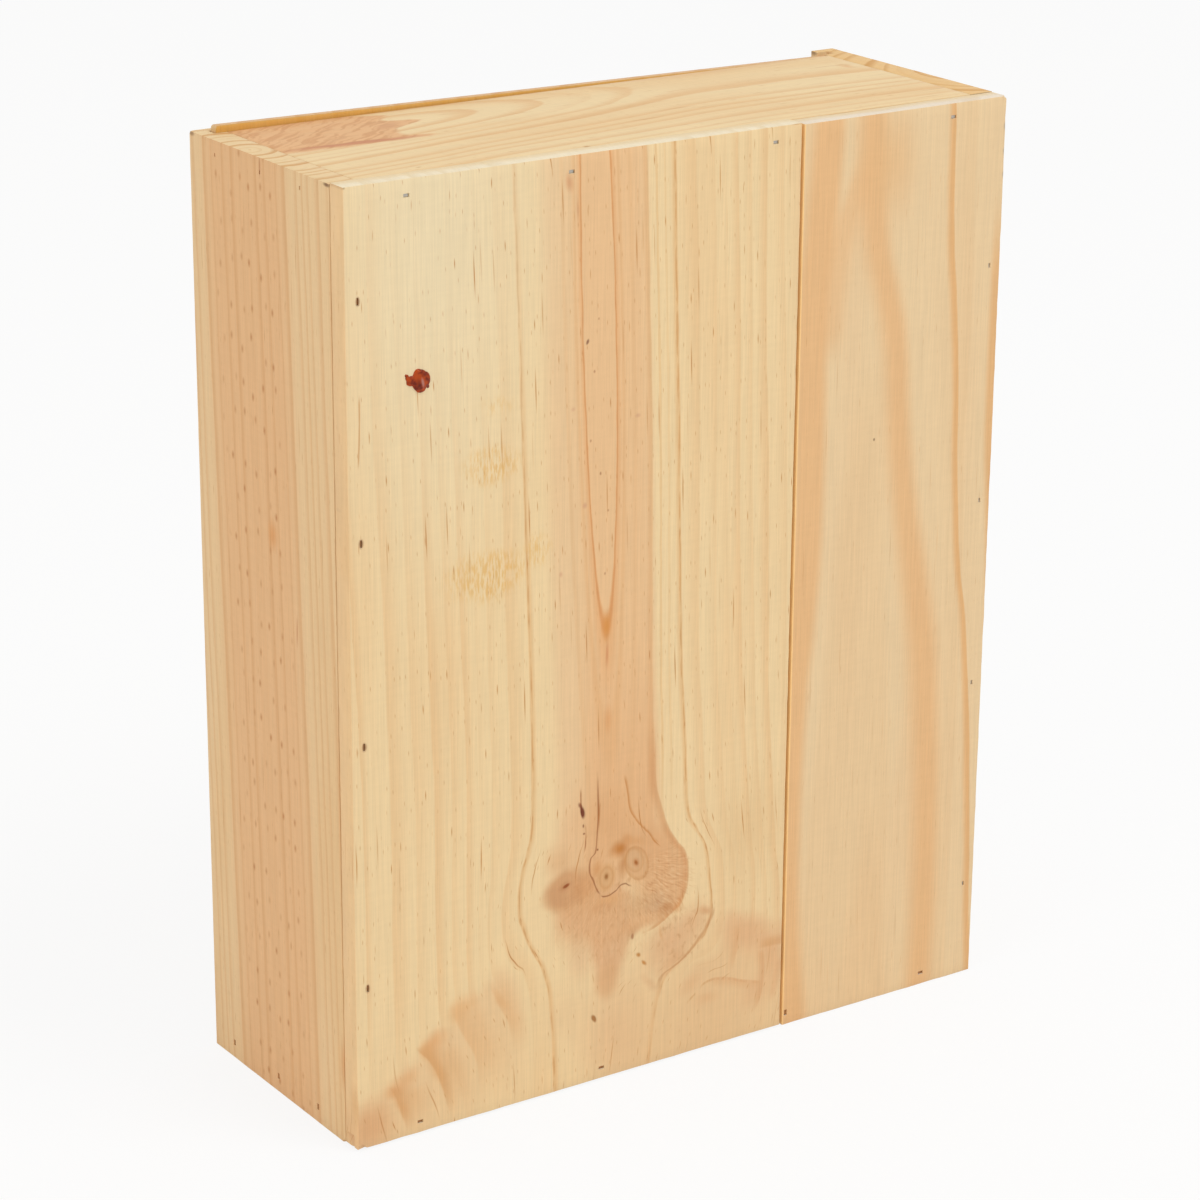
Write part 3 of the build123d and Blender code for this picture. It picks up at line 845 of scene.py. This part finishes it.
         (117.3, -25.9)], "edges": (-0.4, -0.05, 0.05, 1.2), "tone": "#C4803A", "share": 0.7},
        {"points": [(29.5, -9.9), (34.5, -8.4), (36.8, -3.8), (39.4, 1.2), (44.8, 7.3), (50.8, 12.2),
         (57, 14.6)], "edges": (-1.5, -0.2, 0.2, 1.2), "tone": "#BE8450", "share": 0.5},
        {"points": [(246, -131.6), (258, -131.2), (272, -130.8)], "edges": (-0.5, -0.05, 0.05, 0.5),
         "tone": "#C58A50", "share": 0.7},
        {"points": firstFlame, "edges": (-1, 0.6, 1.2, 17), "tone": "#DAA56E", "share": 0.6,
         "taper": (16, 5)},
        {"points": secondFlame, "edges": (-1, 0.6, 1.2, 18), "tone": "#DAA770", "share": 0.6,
         "taper": (24, 6)},
        {"points": [(4, -85.6), (15.1, -86.2), (24, -88), (30.7, -91.3), (38.4, -95.1), (43.6, -97.3),
         (46, -99)], "edges": (-0.9, 0.5, 1, 17), "tone": "#DFB07B", "share": 0.6, "taper": (26, 7)},
        {"points": firstFlame, "edges": (-0.3, 0.4, 0.8, 5), "tone": "#D59E66", "share": 0.5,
         "taper": (10, 3)},
        {"points": secondFlame, "edges": (-0.3, 0.4, 0.8, 5), "tone": "#D59E64", "share": 0.5,
         "taper": (16, 4)},
        {"points": [(20, -72.4), (31.8, -73.5), (39.1, -76.9), (46.2, -80.2), (52.5, -83.4)],
         "edges": (-0.9, 0.4, 0.9, 9), "tone": "#DFB07C", "share": 0.6, "taper": (16, 9)},
        {"points": [(1.4, 19.6), (6.5, 23.6), (13.1, 27.3), (19.8, 26.2), (28.7, 22.9), (36.5, 20.4)],
         "level": True, "edges": (-0.9, -0.1, 0.1, 0.7), "tone": "#CF9A64", "share": 0.65, "broken": True},
        {"points": [(12, 27.8), (19.8, 26.4), (28.7, 23), (37.5, 20.4)], "level": True,
         "edges": (-4.5, -0.2, 0.2, 0.8), "tone": "#DCAC7C", "share": 0.6},
        {"points": [(33.5, 35.2), (39, 35.2), (45.5, 34.6)], "level": True, "edges": (-1.6, -0.2, 0.6, 4),
         "tone": "#D49E68", "share": 0.55, "taper": (5, 0.5)},
        {"points": [(8, 32.2), (21.8, 36.9), (34, 36.4)], "edges": (-3, -0.3, 0.2, 0.8), "tone": "#D8A574",
         "share": 0.6, "taper": (8, 2)},
        {"points": [(27, 22), (39.6, 24.7), (47.5, 25.6)], "edges": (-3.4, -0.3, 0.3, 1.2),
         "tone": "#DAA876", "share": 0.55, "taper": (9, 4)},
        {"points": [(10, 40.6), (24, 43.6), (31, 45)], "edges": (-2, -0.3, 0.3, 3), "tone": "#DDAC7C",
         "share": 0.5, "taper": (6, 6)},
    ],
    "fanMiddle": (-28.0, 84.0),  # mm, where the strokes fan out from
    "fanStroke": (0.028, 4.0, 1.0),  # radians across and mm along a stroke
    "mottled": [(-28, 68, 34, 30, 0, 0.7, "#C08550", 0.45), (0, 48, 16, 14, 30, 0.6, "#BC8450", 0.55)],
    "fanned": [(-30, 64, 30, 26, 0, 0.6, "#B8763E", 0.16), (-6, 70, 14, 20, 0, 0.6, "#B8763E", 0.42)],
    "fannedPale": [(-30, 64, 30, 26, 0, 0.6, "#EBC99C", 0.2), (-6, 70, 14, 20, 0, 0.6, "#EBC99C", 0.45)],
    "tent": ((88.4, 0.71), (74.4, 0.46)),  # mm high over the knots and fall per mm, left and right
    "tentMiddle": -30.0,
    "lobe": 14.0,  # mm between the shaded lobes
    "lobeDrop": -4.0,  # mm from one side of a lobe to the other
    "lobeEdges": (-7.0, 3.0, 6.0, 70.0),
    "lobeStart": (8.0, 14.0),  # mm outside the dark ring lines
    "lobeTone": ("#E0B688", 0.45),
    "core": [((-26, -18, 17, 23), "#E7C395", 0.9), ((-15, -5, 15, 23), "#E7BC8B", 0.8)],  # mm from the pith
    "coreFoot": (62.0, 92.0),  # mm of height over which the pink core begins
    "coreLow": (190.0, 90.0),  # and over which it deepens downwards
    "coreLowTone": ("#E0AC7A", 0.6),
    "coreLineFoot": (85.0, 125.0),
    "rightHalf": (-4.0, 4.0),
    "darkRing": ((-0.55, -0.1, 0.1, 0.55), "#BE8248", 0.75),
    "faintRing": ((-2.2, -0.2, 0.2, 1.0), "#DCAA6E", 0.5),
    "wobble": (11.0, 16.0, 13.0),  # mm, waves that push the marks about
    "wobbleReach": (6.0, 6.0, 0.0),
    "worn": (1.2, 8.0, 9.0),  # mm, gaps in the dark lines
    "speckle": (0.9, 3.0, 4.2),  # mm, grains of the stains
    "mottle": (2.2, 3.0, 3.2),
    "edge": (-135.3, -135.9),  # mm, the sawn edge is warmer
    "edgeTone": ("#EFC48E", 0.75),
}


def markWide(tree, part, look, colour):
    marks = wideMarks
    part["x"] = maths(tree, "ADD", part["across"], part["ripple"])
    part["z"] = part["along"]
    plane = join(tree, part["x"], part["z"], part["depth"])
    wobble = grainNoise(tree, part["grain"], marks["wobble"], 7.0, 2.0)
    warp = rescale(tree, wobble, 0.2, 0.8, -1.7, 1.7, clamp=False)  # mm
    warped = shove(tree, plane, wobble, marks["wobbleReach"])
    worn = grainNoise(tree, part["grain"], marks["worn"], 11.0, 2.0)
    part["gaps"] = ease(tree, worn, 0.38, 0.6)

    # pink core
    above = ease(tree, part["along"], *marks["coreFoot"])
    for edges, tone, share in marks["core"]:
        column = band(tree, part["sideways"], edges)
        core = maths(tree, "MULTIPLY", column, above)
        colour = tint(tree, colour, core, tone, share)
    low = ease(tree, part["along"], *marks["coreLow"])
    lowCore = maths(tree, "MULTIPLY", low, core)
    colour = tint(tree, colour, lowCore, *marks["coreLowTone"])
    for line in look["coreLines"]:
        away = maths(tree, "SUBTRACT", part["inner"], line["at"])
        upper = ease(tree, part["along"], *marks["coreLineFoot"])
        mask = maths(tree, "MULTIPLY", band(tree, away, line["edges"]), upper)
        if line.get("right"):
            half = ease(tree, part["sideways"], *marks["rightHalf"])
            mask = maths(tree, "MULTIPLY", mask, half)
        colour = tint(tree, colour, mask, line["tone"], line["share"])

    # two dark ring lines on each side of the core
    rim = maths(tree, "ADD", part["outside"], part["ripple"])
    edges, tone, share = marks["darkRing"]
    dark = maths(tree, "MULTIPLY", band(tree, rim, edges), part["gaps"])
    colour = tint(tree, colour, dark, tone, share)
    edges, tone, share = marks["faintRing"]
    colour = tint(tree, colour, band(tree, rim, edges), tone, share)

    # shaded lobes round the knots
    aside = maths(tree, "SUBTRACT", part["across"], marks["tentMiddle"])
    falls = [maths(tree, "MULTIPLY_ADD", aside, sign * slope, -top)
             for sign, (top, slope) in zip((-1, 1), marks["tent"])]
    fall = maths(tree, "MAXIMUM", *falls)
    under = maths(tree, "ADD", fall, part["along"])
    rough = maths(tree, "MULTIPLY_ADD", warp, 2.0, under)
    below = maths(tree, "MULTIPLY", rough, -1.0)
    lobes = maths(tree, "DIVIDE", part["radius"], marks["lobe"])
    phase = maths(tree, "FRACT", lobes)
    depth = maths(tree, "MULTIPLY_ADD", phase, marks["lobeDrop"], below)
    shade = band(tree, depth, marks["lobeEdges"])
    away = ease(tree, part["outside"], *marks["lobeStart"])
    shade = maths(tree, "MULTIPLY", shade, away)
    colour = tint(tree, colour, shade, *marks["lobeTone"])

    speckle = grainNoise(tree, part["grain"], marks["speckle"], 13.0, 3.0)
    dots = ease(tree, speckle, 0.4, 0.62)
    stained = paintSpots(tree, colour, warped, marks["stains"])
    colour = blend(tree, dots, colour, stained)
    colour = paintSpots(tree, colour, warped, marks["shades"])
    colour = paintLines(tree, colour, part, marks["knotLines"])
    colour = paintSpots(tree, colour, warped, marks["knotShades"])

    # wild grain in and round the knots: mottled, with strokes that fan out
    mottle = grainNoise(tree, part["grain"], marks["mottle"], 17.0, 3.0)
    aside = vectors(tree, "SUBTRACT", warped, (*marks["fanMiddle"], 0.0))
    flat = vectors(tree, "MULTIPLY", aside, (1, 1, 0))
    out = vectors(tree, "LENGTH", flat).outputs["Value"]
    ways = split(tree, flat)
    turn = maths(tree, "ARCTAN2", ways["Y"], ways["X"])
    polar = join(tree, turn, out)
    strokes = grainNoise(tree, polar, marks["fanStroke"], 19.0, 2.0)
    for noise, low, high, key in ((mottle, 0.5, 0.75, "mottled"), (strokes, 0.48, 0.7, "fanned"),
                                  (strokes, 0.48, 0.3, "fannedPale")):
        wild = ease(tree, noise, low, high)
        wilder = paintSpots(tree, colour, warped, marks[key])
        colour = blend(tree, wild, colour, wilder)
    colour = paintLines(tree, colour, part, marks["lines"])
    colour = paintSpots(tree, colour, plane, marks["eyes"] + marks["specks"])
    edge = ease(tree, part["across"], *marks["edge"])
    return tint(tree, colour, edge, *marks["edgeTone"])


dress(wideBase, makePine("pineWideBase", wideLook, wideField, markWide))

# Narrow base board: soft broad rings that meet in a point near the top

narrowLook = {
    "axes": "XYZ", "seed": 11.0,
    "early": "#E7CA9E", "patchTone": "#E6C598", "late": "#E2B47E", "lateShare": 0.2,
    "endEarly": "#E9DAC4", "endLate": "#E2CDB0", "endBack": (-48.5, -44.0), "endBackTone": "#E8CEA0",
    "ringGap": 19.0, "ringRise": 0.3, "weakRing": 0.3,
    "bend": 2.0, "bendSize": (30.0, 20.0, 120.0), "ripple": 0.25,
    "pith": (72.0, -20.0), "lean": (0.02, 0.03),
    "dashShare": 0.28,
    "edge": (47.3, 46.7),  # mm, the sawn edge at the seam, painted bright against the shade in the joint
    "edgeTone": ("#FFD290", 0.95),
    "lines": [
        {"points": [(0, 111.5), (38, 111.8), (80, 111), (108, 109), (135.8, 107), (166, 102.5), (194, 97),
         (213, 94), (233, 92), (252, 90.5), (275, 85.5), (294, 80.5), (316, 78), (341, 77)],
         "edges": (-12, -1.5, 1, 9), "tone": "#E3B27C", "share": 0.78, "taper": 0},
        {"points": [(0, 53), (40, 50), (90, 48.5), (120, 49.5), (160, 52.5), (200, 54.5), (260, 54),
         (300, 57), (341, 60)], "edges": (-14, -6, 1, 7), "tone": "#E4B27B", "share": 0.8, "taper": 0},
        {"points": [(250, 60), (280, 62), (300, 66), (316, 72), (330, 76)], "edges": (-9, -3, 0, 9),
         "tone": "#E4B47F", "share": 0.6, "taper": (16, 16)},
        {"points": [(0, 135), (52, 132.2), (80, 130.2), (108, 128.7), (144, 125.4), (172, 121.1),
         (200, 119.8), (233, 118.5), (266, 115.6), (294, 112.9), (341, 111.2)],
         "edges": (-3.4, -0.3, 0.3, 1), "tone": "#DFA769", "share": 0.75, "taper": 0},
        {"points": [(120, 138), (180, 136), (240, 134), (310, 134)], "edges": (-4, -0.5, 1, 5),
         "tone": "#DFAA6F", "share": 0.75, "taper": (50, 40)},
    ],
    "shades": [
        (83.6, 322, 18, 30, 0, 1, "#E3B681", 0.7), (80.9, 221.8, 0.6, 0.8, 0, 0.7, "#7A5A40", 0.8),
        (136, 329, 1.4, 2.4, 0, 0.9, "#9C938A", 0.8, -51, 1.6),
        (136, 320, 1.3, 2.2, 0, 0.9, "#9C938A", 0.7, -51, 1.4),
        (136, 311.5, 1.3, 2, 0, 0.9, "#A39789", 0.7, -51, 1.4),
        (136, 201, 1.4, 16, 0, 1, "#C98F55", 0.6, -51, 2),
    ],
}


def markNarrow(tree, part, look, colour):
    part["x"] = maths(tree, "ADD", part["across"], part["bend"])
    part["z"] = part["along"]
    colour = paintLines(tree, colour, part, look["lines"])
    flat = join(tree, part["across"], part["along"], part["depth"])
    colour = paintSpots(tree, colour, flat, look["shades"])
    # painted light: the edge in the narrow joint is brightened so that its shade hardly shows
    edge = ease(tree, part["across"], *look["edge"])
    return tint(tree, colour, edge, *look["edgeTone"])


dress(narrowBase, makePine("pineNarrowBase", narrowLook, pithField, markNarrow))

# Side boards: straight lines, a pink heart down the middle with rows of small flecks

leftLook = {
    "axes": "YXZ", "seed": 21.0,
    "early": "#EBC897", "patchTone": "#E8C18D", "late": "#D8A068", "lateShare": 0.6,
    "endEarly": "#E9CB9A", "endLate": "#D09A5C",
    "ringGap": 4.8, "ringRise": 0.45, "weakRing": 0.15,
    "bend": 0.7, "bendSize": (12.0, 12.0, 120.0), "ripple": 0.2,
    "pith": (2.0, -133.0), "lean": (0.036, 0.0),
    "heart": (20.0, 34.0), "heartTone": "#E7B784", "heartShare": 0.9,
    "dashShare": 0.5,
    "fleckGap": (7.4, 13.5),  # mm between needle traces across and along
    "fleckReach": (17.0, 24.0),  # mm from the pith
    "fleckSize": (0.02, 0.14),  # of the gap
    "fleckLuck": 0.55, "fleckWeak": 0.35, "fleckTone": ("#B87236", 0.75),
    "shades": [(-0.5, 211, 4.5, 8, 0, 1, "#DC9552", 0.7), (-16, 181, 0.7, 8, 2, 0.8, "#C07C50", 0.6),
               (-42, 30, 3, 14, 0, 1, "#D08A4C", 0.5), (2.6, 337, 0.8, 5, 0, 0.8, "#B9794C", 0.7),
               (-41, 339.4, 3, 1, 0, 0.8, "#7A5638", 0.85), (49.5, 339.5, 3, 1.4, 0, 0.8, "#8A6848", 0.7)],
}


def markSide(tree, part, look, colour):  # needle traces near the pith, in staggered rows
    flat = join(tree, part["across"], part["along"])
    cells = vectors(tree, "DIVIDE", flat, (*look["fleckGap"], 1))
    rows = {"voronoi_dimensions": "2D", "Scale": 1.0, "Randomness": look["fleckLuck"]}
    spots = addNode(tree, "TexVoronoi", rows, {"Vector": cells})
    dot = rescale(tree, spots.outputs["Distance"], *look["fleckSize"], 1.0, 0.0)
    near = ease(tree, part["radius"], *look["fleckReach"], 1.0, 0.0)
    luck = addNode(tree, "SeparateColor", links={0: spots.outputs["Color"]})
    chosen = rescale(tree, luck, 0.0, 1.0, look["fleckWeak"], 1.0)
    some = maths(tree, "MULTIPLY", near, chosen)
    mask = maths(tree, "MULTIPLY", dot, some)
    colour = tint(tree, colour, mask, *look["fleckTone"])
    return paintSpots(tree, colour, flat, look["shades"])


dress(leftSide, makePine("pineLeftSide", leftLook, pithField, markSide))
rightLook = {**leftLook, "seed": 34.0, "pith": (-18.0, 150.0), "lean": (0.03, 0.01), "heartShare": 0.5,
             "ringGap": 6.5, "early": "#E9CA98", "late": "#D8A66C",
             "endEarly": "#E6BD80", "endLate": "#CF9850"}
dress(rightSide, makePine("pineRightSide", rightLook, pithField, markSide))

# End boards: grain along the box's width

topLook = {
    "axes": "YZX", "seed": 41.0,
    "early": "#EBD0A0", "patchTone": "#E8C794", "late": "#DBA76B", "lateShare": 0.6,
    "endEarly": "#E4C08E", "endLate": "#C4915A",
    "ringGap": 6.1, "ringRise": 0.35, "weakRing": 0.25,
    "bend": 1.0, "bendSize": (18.0, 18.0, 90.0), "ripple": 0.3,
    "pithAcross": [(-126, 15), (-86, 21.5), (-49, 26.5), (0, 28), (60, 28.5), (126, 28)],
    "pithDepth": [(-126, -8), (-67, 4.5), (-33, 13.2), (9, 24), (34, 29.5), (55, 31), (126, 30)],  # mm
    "face": 340.0,  # mm, pithDepth is counted up from here
    "dashShare": 0.6,
    "shades": [
        (-99, 4.2, 35, 3.6, -4, 0.65, "#C6835A", 0.85), (-76, 21.5, 10, 4, 32, 0.9, "#CF9668", 0.7),
        (-102, 12, 16, 1.6, 38, 1, "#C98F63", 0.5), (-37.5, -40.9, 2.4, 1.5, 0, 0.8, "#B8844F", 0.8),
        (-99.3, -37.6, 2, 0.8, 0, 0.9, "#C0925C", 0.6), (119, 21, 4, 6, 0, 1, "#DFAE78", 0.7),
    ],
    "pinkEdge": [(0.5, -80), (2.2, -67.5), (6.9, -76.6), (12.4, -77.5), (20.6, -67.5), (24.2, -60.5),
                 (29.6, -72), (36, -68.4), (40, -75), (43.5, -81)],  # mm, the ragged end of a pink patch
    "pinkFade": (1.0, -3.0), "pinkFront": (0.0, 3.0), "pinkTone": ("#E1AD79", 0.85),
    "curl": (17.0, 1.9, 1),  # mm along and across the dark strokes in it
    "curlTurn": 38,  # degrees
    "curlTone": ("#CB8F5C", 0.6),
    "wobble": (5.0, 9.0, 12.0),  # mm, waves that push the marks about
    "wobbleReach": (9.0, 5.0, 0.0),
}


def topField(tree, part, look):  # the pith climbs away from the face, so that the rings close in points
    above = maths(tree, "SUBTRACT", look["face"], part["depth"])
    deep = maths(tree, "ADD", above, handLine(tree, part["along"], look["pithDepth"]))
    aside = maths(tree, "SUBTRACT", part["across"], handLine(tree, part["along"], look["pithAcross"]))
    flat = join(tree, aside, deep)
    return vectors(tree, "LENGTH", flat).outputs["Value"]


def markTop(tree, part, look, colour):
    plane = join(tree, part["along"], part["across"])
    wobble = grainNoise(tree, part["grain"], look["wobble"], 7.0, 2.0)
    warped = shove(tree, plane, wobble, look["wobbleReach"])
    spread = split(tree, warped)
    past = maths(tree, "SUBTRACT", spread["X"], handLine(tree, part["across"], look["pinkEdge"]))
    leftward = ease(tree, past, *look["pinkFade"])
    backward = ease(tree, spread["Y"], *look["pinkFront"])
    pink = maths(tree, "MULTIPLY", leftward, backward)
    colour = tint(tree, colour, pink, *look["pinkTone"])
    slant = {"Rotation": (0, 0, math.radians(look["curlTurn"])), "Scale": look["curl"]}
    slanted = addNode(tree, "Mapping", {"vector_type": "TEXTURE", **slant}, {0: warped})
    curl = addNode(tree, "TexNoise", {"Scale": 1.0, "Detail": 2.0}, {"Vector": slanted})
    dark = ease(tree, curl, 0.46, 0.64)
    curls = maths(tree, "MULTIPLY", dark, pink)
    colour = tint(tree, colour, curls, *look["curlTone"])
    return paintSpots(tree, colour, warped, look["shades"])


dress(topEnd, makePine("pineTopEnd", topLook, topField, markTop))
bottomLook = {**topLook, "seed": 52.0, "pith": (-15.0, -24.0), "lean": (0.02, 0.04), "early": "#E9CA98"}
dress(bottomEnd, makePine("pineBottomEnd", bottomLook))

# Lid and dividers: thinner boards of the same wood

lidPine = {
    "axes": "XYZ", "seed": 63.0,
    "early": "#E6C592", "patchTone": "#E2BC84", "late": "#D6A064", "lateShare": 0.55,
    # painted bounce light: endBackTone tints the end grain by the inner face amber
    "endEarly": "#DDB484", "endLate": "#D2A26C", "endBack": (44.1, 43.3), "endBackTone": "#CF973E",
    "ringGap": 8.5, "ringRise": 0.35, "weakRing": 0.3,
    "bend": 2.2, "bendSize": (26.0, 20.0, 140.0), "ripple": 0.35,
    "pith": (20.0, 70.0), "lean": (0.02, -0.13),
    "dashShare": 0.5,
    "inside": (43.6, 43.1),  # mm, the inner face
    # painted bounce light on the inner face: amber rising towards the top
    "ripening": (302.0, 337.0, 0.12, 1.0),  # mm of height, and the share of amber below and above
    "ripeTone": ("#D99F3C", 0.8),
}


def markLidBounceLight(tree, part, look, colour):  # painted bounce light: the inside face is tinted amber, most towards its top
    inner = ease(tree, part["depth"], *look["inside"])
    upper = ease(tree, part["along"], *look["ripening"])
    paintedBounce = maths(tree, "MULTIPLY", inner, upper)
    return tint(tree, colour, paintedBounce, *look["ripeTone"])


dress(slidingLid, makePine("pineLid", lidPine, pithField, markLidBounceLight))
dividerPine = {**lidPine, "axes": "YXZ", "seed": 71.0, "pith": (-70.0, -60.0), "lean": (0.02, 0.02),
               "ringGap": 5.0, "endBack": None}
for piece in dividers:
    dress(piece, makePine("pine" + piece.name[0].upper() + piece.name[1:], dividerPine))

# Galvanised wire brads, dull grey and darkened

steel, tree = newMaterial("galvanisedSteel")
place = addNode(tree, "TexCoord")
axes = split(tree, place.outputs["Object"])
rust = rescale(tree, axes["X"], -0.129, -0.130)  # the row along the left edge has rusted
damp = rescale(tree, axes["Z"], 0.030, 0.025)  # and so have those by the floor
brown = maths(tree, "MAXIMUM", rust, damp)
tone = blend(tree, brown, "#C2BEB6", "#A87444")
skin = addNode(tree, "BsdfPrincipled", {"Metallic": 0.35, "Roughness": 0.5}, {"Base Color": tone})
addNode(tree, "OutputMaterial", links={0: skin})
for node in ("left_side_brads", "right_side_brads", "wide_base_brads", "narrow_base_brads"):
    dress(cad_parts[node], steel)

# Pine resin, set hard: dark red amber, wet-looking

# a darker patch, then a painted highlight: a pale streak where the wet crown would catch the lamp
resinDarkSpotAndHighlight = [(-109, 272, 1.6, 3, 10, 0.9, "#5E1A02", 0.7),
              (-107.6, 272.5, 0.75, 2.4, 13, 0.8, "#B48A80", 0.6)]
resin, tree = newMaterial("pineResin")
place = addNode(tree, "TexCoord")
clots = {"Scale": 450.0, "Detail": 2.0}  # about 2 mm across
cloud = addNode(tree, "TexNoise", clots, {"Vector": place.outputs["Object"]})
clot = ease(tree, cloud, 0.4, 0.65)
tone = blend(tree, clot, "#AE4204", "#701C00")
axes = split(tree, place.outputs["Object"])
face = join(tree, axes["X"], axes["Z"])
milli = addNode(tree, "VectorMath", {"operation": "SCALE", "Scale": 1000.0}, {0: face})
tone = paintSpots(tree, tone, milli, resinDarkSpotAndHighlight)
lumpy = addNode(tree, "Bump", {"Strength": 0.4, "Distance": 0.0006}, {"Height": cloud})
skin = addNode(tree, "BsdfPrincipled", {"Roughness": 0.15, "IOR": 1.54, "Specular IOR Level": 0.2},
               {"Base Color": tone, "Normal": lumpy})
addNode(tree, "OutputMaterial", links={0: skin})
dress(resinBead, resin)
print("materials dressed")

# Camera at the photograph's place

cameraLook = {
    "place": (-713.4, -1049.14, 608.96),  # mm
    "azimuth": -34.138,  # degrees
    "elevation": 19.427,
    "roll": -0.428,
    "focal": 3725.0 / 1200.0,  # of the frame's width
}


def addCamera(look):
    azimuth, elevation, roll = (math.radians(look[key]) for key in ("azimuth", "elevation", "roll"))
    level = math.cos(elevation)
    back = Vector((math.sin(azimuth) * level, -math.cos(azimuth) * level, math.sin(elevation)))
    right = Vector((0, 0, 1)).cross(back).normalized()
    up = back.cross(right)
    leantRight = math.cos(roll) * right - math.sin(roll) * up
    leantUp = math.sin(roll) * right + math.cos(roll) * up
    data = bpy.data.cameras.new("camera")
    data.sensor_width = 36.0
    data.lens = look["focal"] * data.sensor_width
    data.clip_start = 0.05
    data.clip_end = 60
    camera = bpy.data.objects.new("camera", data)
    bpy.context.scene.collection.objects.link(camera)
    turn = Matrix((leantRight, leantUp, back)).transposed().to_4x4()
    camera.matrix_world = Matrix.Translation([v * mm for v in look["place"]]) @ turn
    bpy.context.scene.camera = camera


addCamera(cameraLook)

# Soft studio light on white paper

scene = bpy.context.scene
scene.view_settings.view_transform = "Standard"
studioLook = {
    "sky": 0.72,  # brightness that lights the box
    "lamps": [("overhead", (0.9, -1.7, 2.7), 1.7, 30.0), ("side", (-2.6, -0.8, 1.3), 1.6, 10.0)],  # m, m, W
    "aim": (0, 0, 0.17),  # m
    "paper": "#F2F1EF",
    "paperGlow": 0.85,  # share of the paper that the camera sees as plain white
}


def seenRays(tree):  # 1 for what the camera sees, straight or in a shiny or clear surface
    path = addNode(tree, "LightPath")
    seen = maths(tree, "MAXIMUM", path.outputs["Is Camera Ray"], path.outputs["Is Glossy Ray"])
    return maths(tree, "MAXIMUM", seen, path.outputs["Is Transmission Ray"])


world = bpy.data.worlds.new("studio")
scene.world = world
world.use_nodes = True
tree = world.node_tree
tree.nodes.clear()
soft = addNode(tree, "Background", {"Color": hexToLinear("#FFFFFF"), "Strength": studioLook["sky"]})
white = addNode(tree, "Background", {"Color": hexToLinear("#FFFFFF"), "Strength": 1.0})
both = addNode(tree, "MixShader", links={0: seenRays(tree), 1: soft, 2: white})
addNode(tree, "OutputWorld", links={0: both})

for name, place, size, power in studioLook["lamps"]:
    data = bpy.data.lights.new(name, "AREA")
    data.shape = "DISK"
    data.size = size
    data.energy = power
    lamp = bpy.data.objects.new(name, data)
    scene.collection.objects.link(lamp)
    lamp.location = place
    lamp.rotation_euler = (Vector(studioLook["aim"]) - Vector(place)).to_track_quat("-Z", "Y").to_euler()

deselectAll()
bpy.ops.mesh.primitive_plane_add(size=40)
floor = bpy.context.object
floor.name = "floor"
paper, tree = newMaterial("whitePaper")  # matt background paper, white to the camera and shadowed by the box
matt = addNode(tree, "BsdfDiffuse", {"Color": hexToLinear(studioLook["paper"])})
glow = addNode(tree, "Emission", {"Color": hexToLinear("#FFFFFF"), "Strength": 1.0})
share = maths(tree, "MULTIPLY", seenRays(tree), studioLook["paperGlow"])
mixed = addNode(tree, "MixShader", links={0: share, 1: matt, 2: glow})
addNode(tree, "OutputMaterial", links={0: mixed})
dress(floor, paper)
print("studio set")
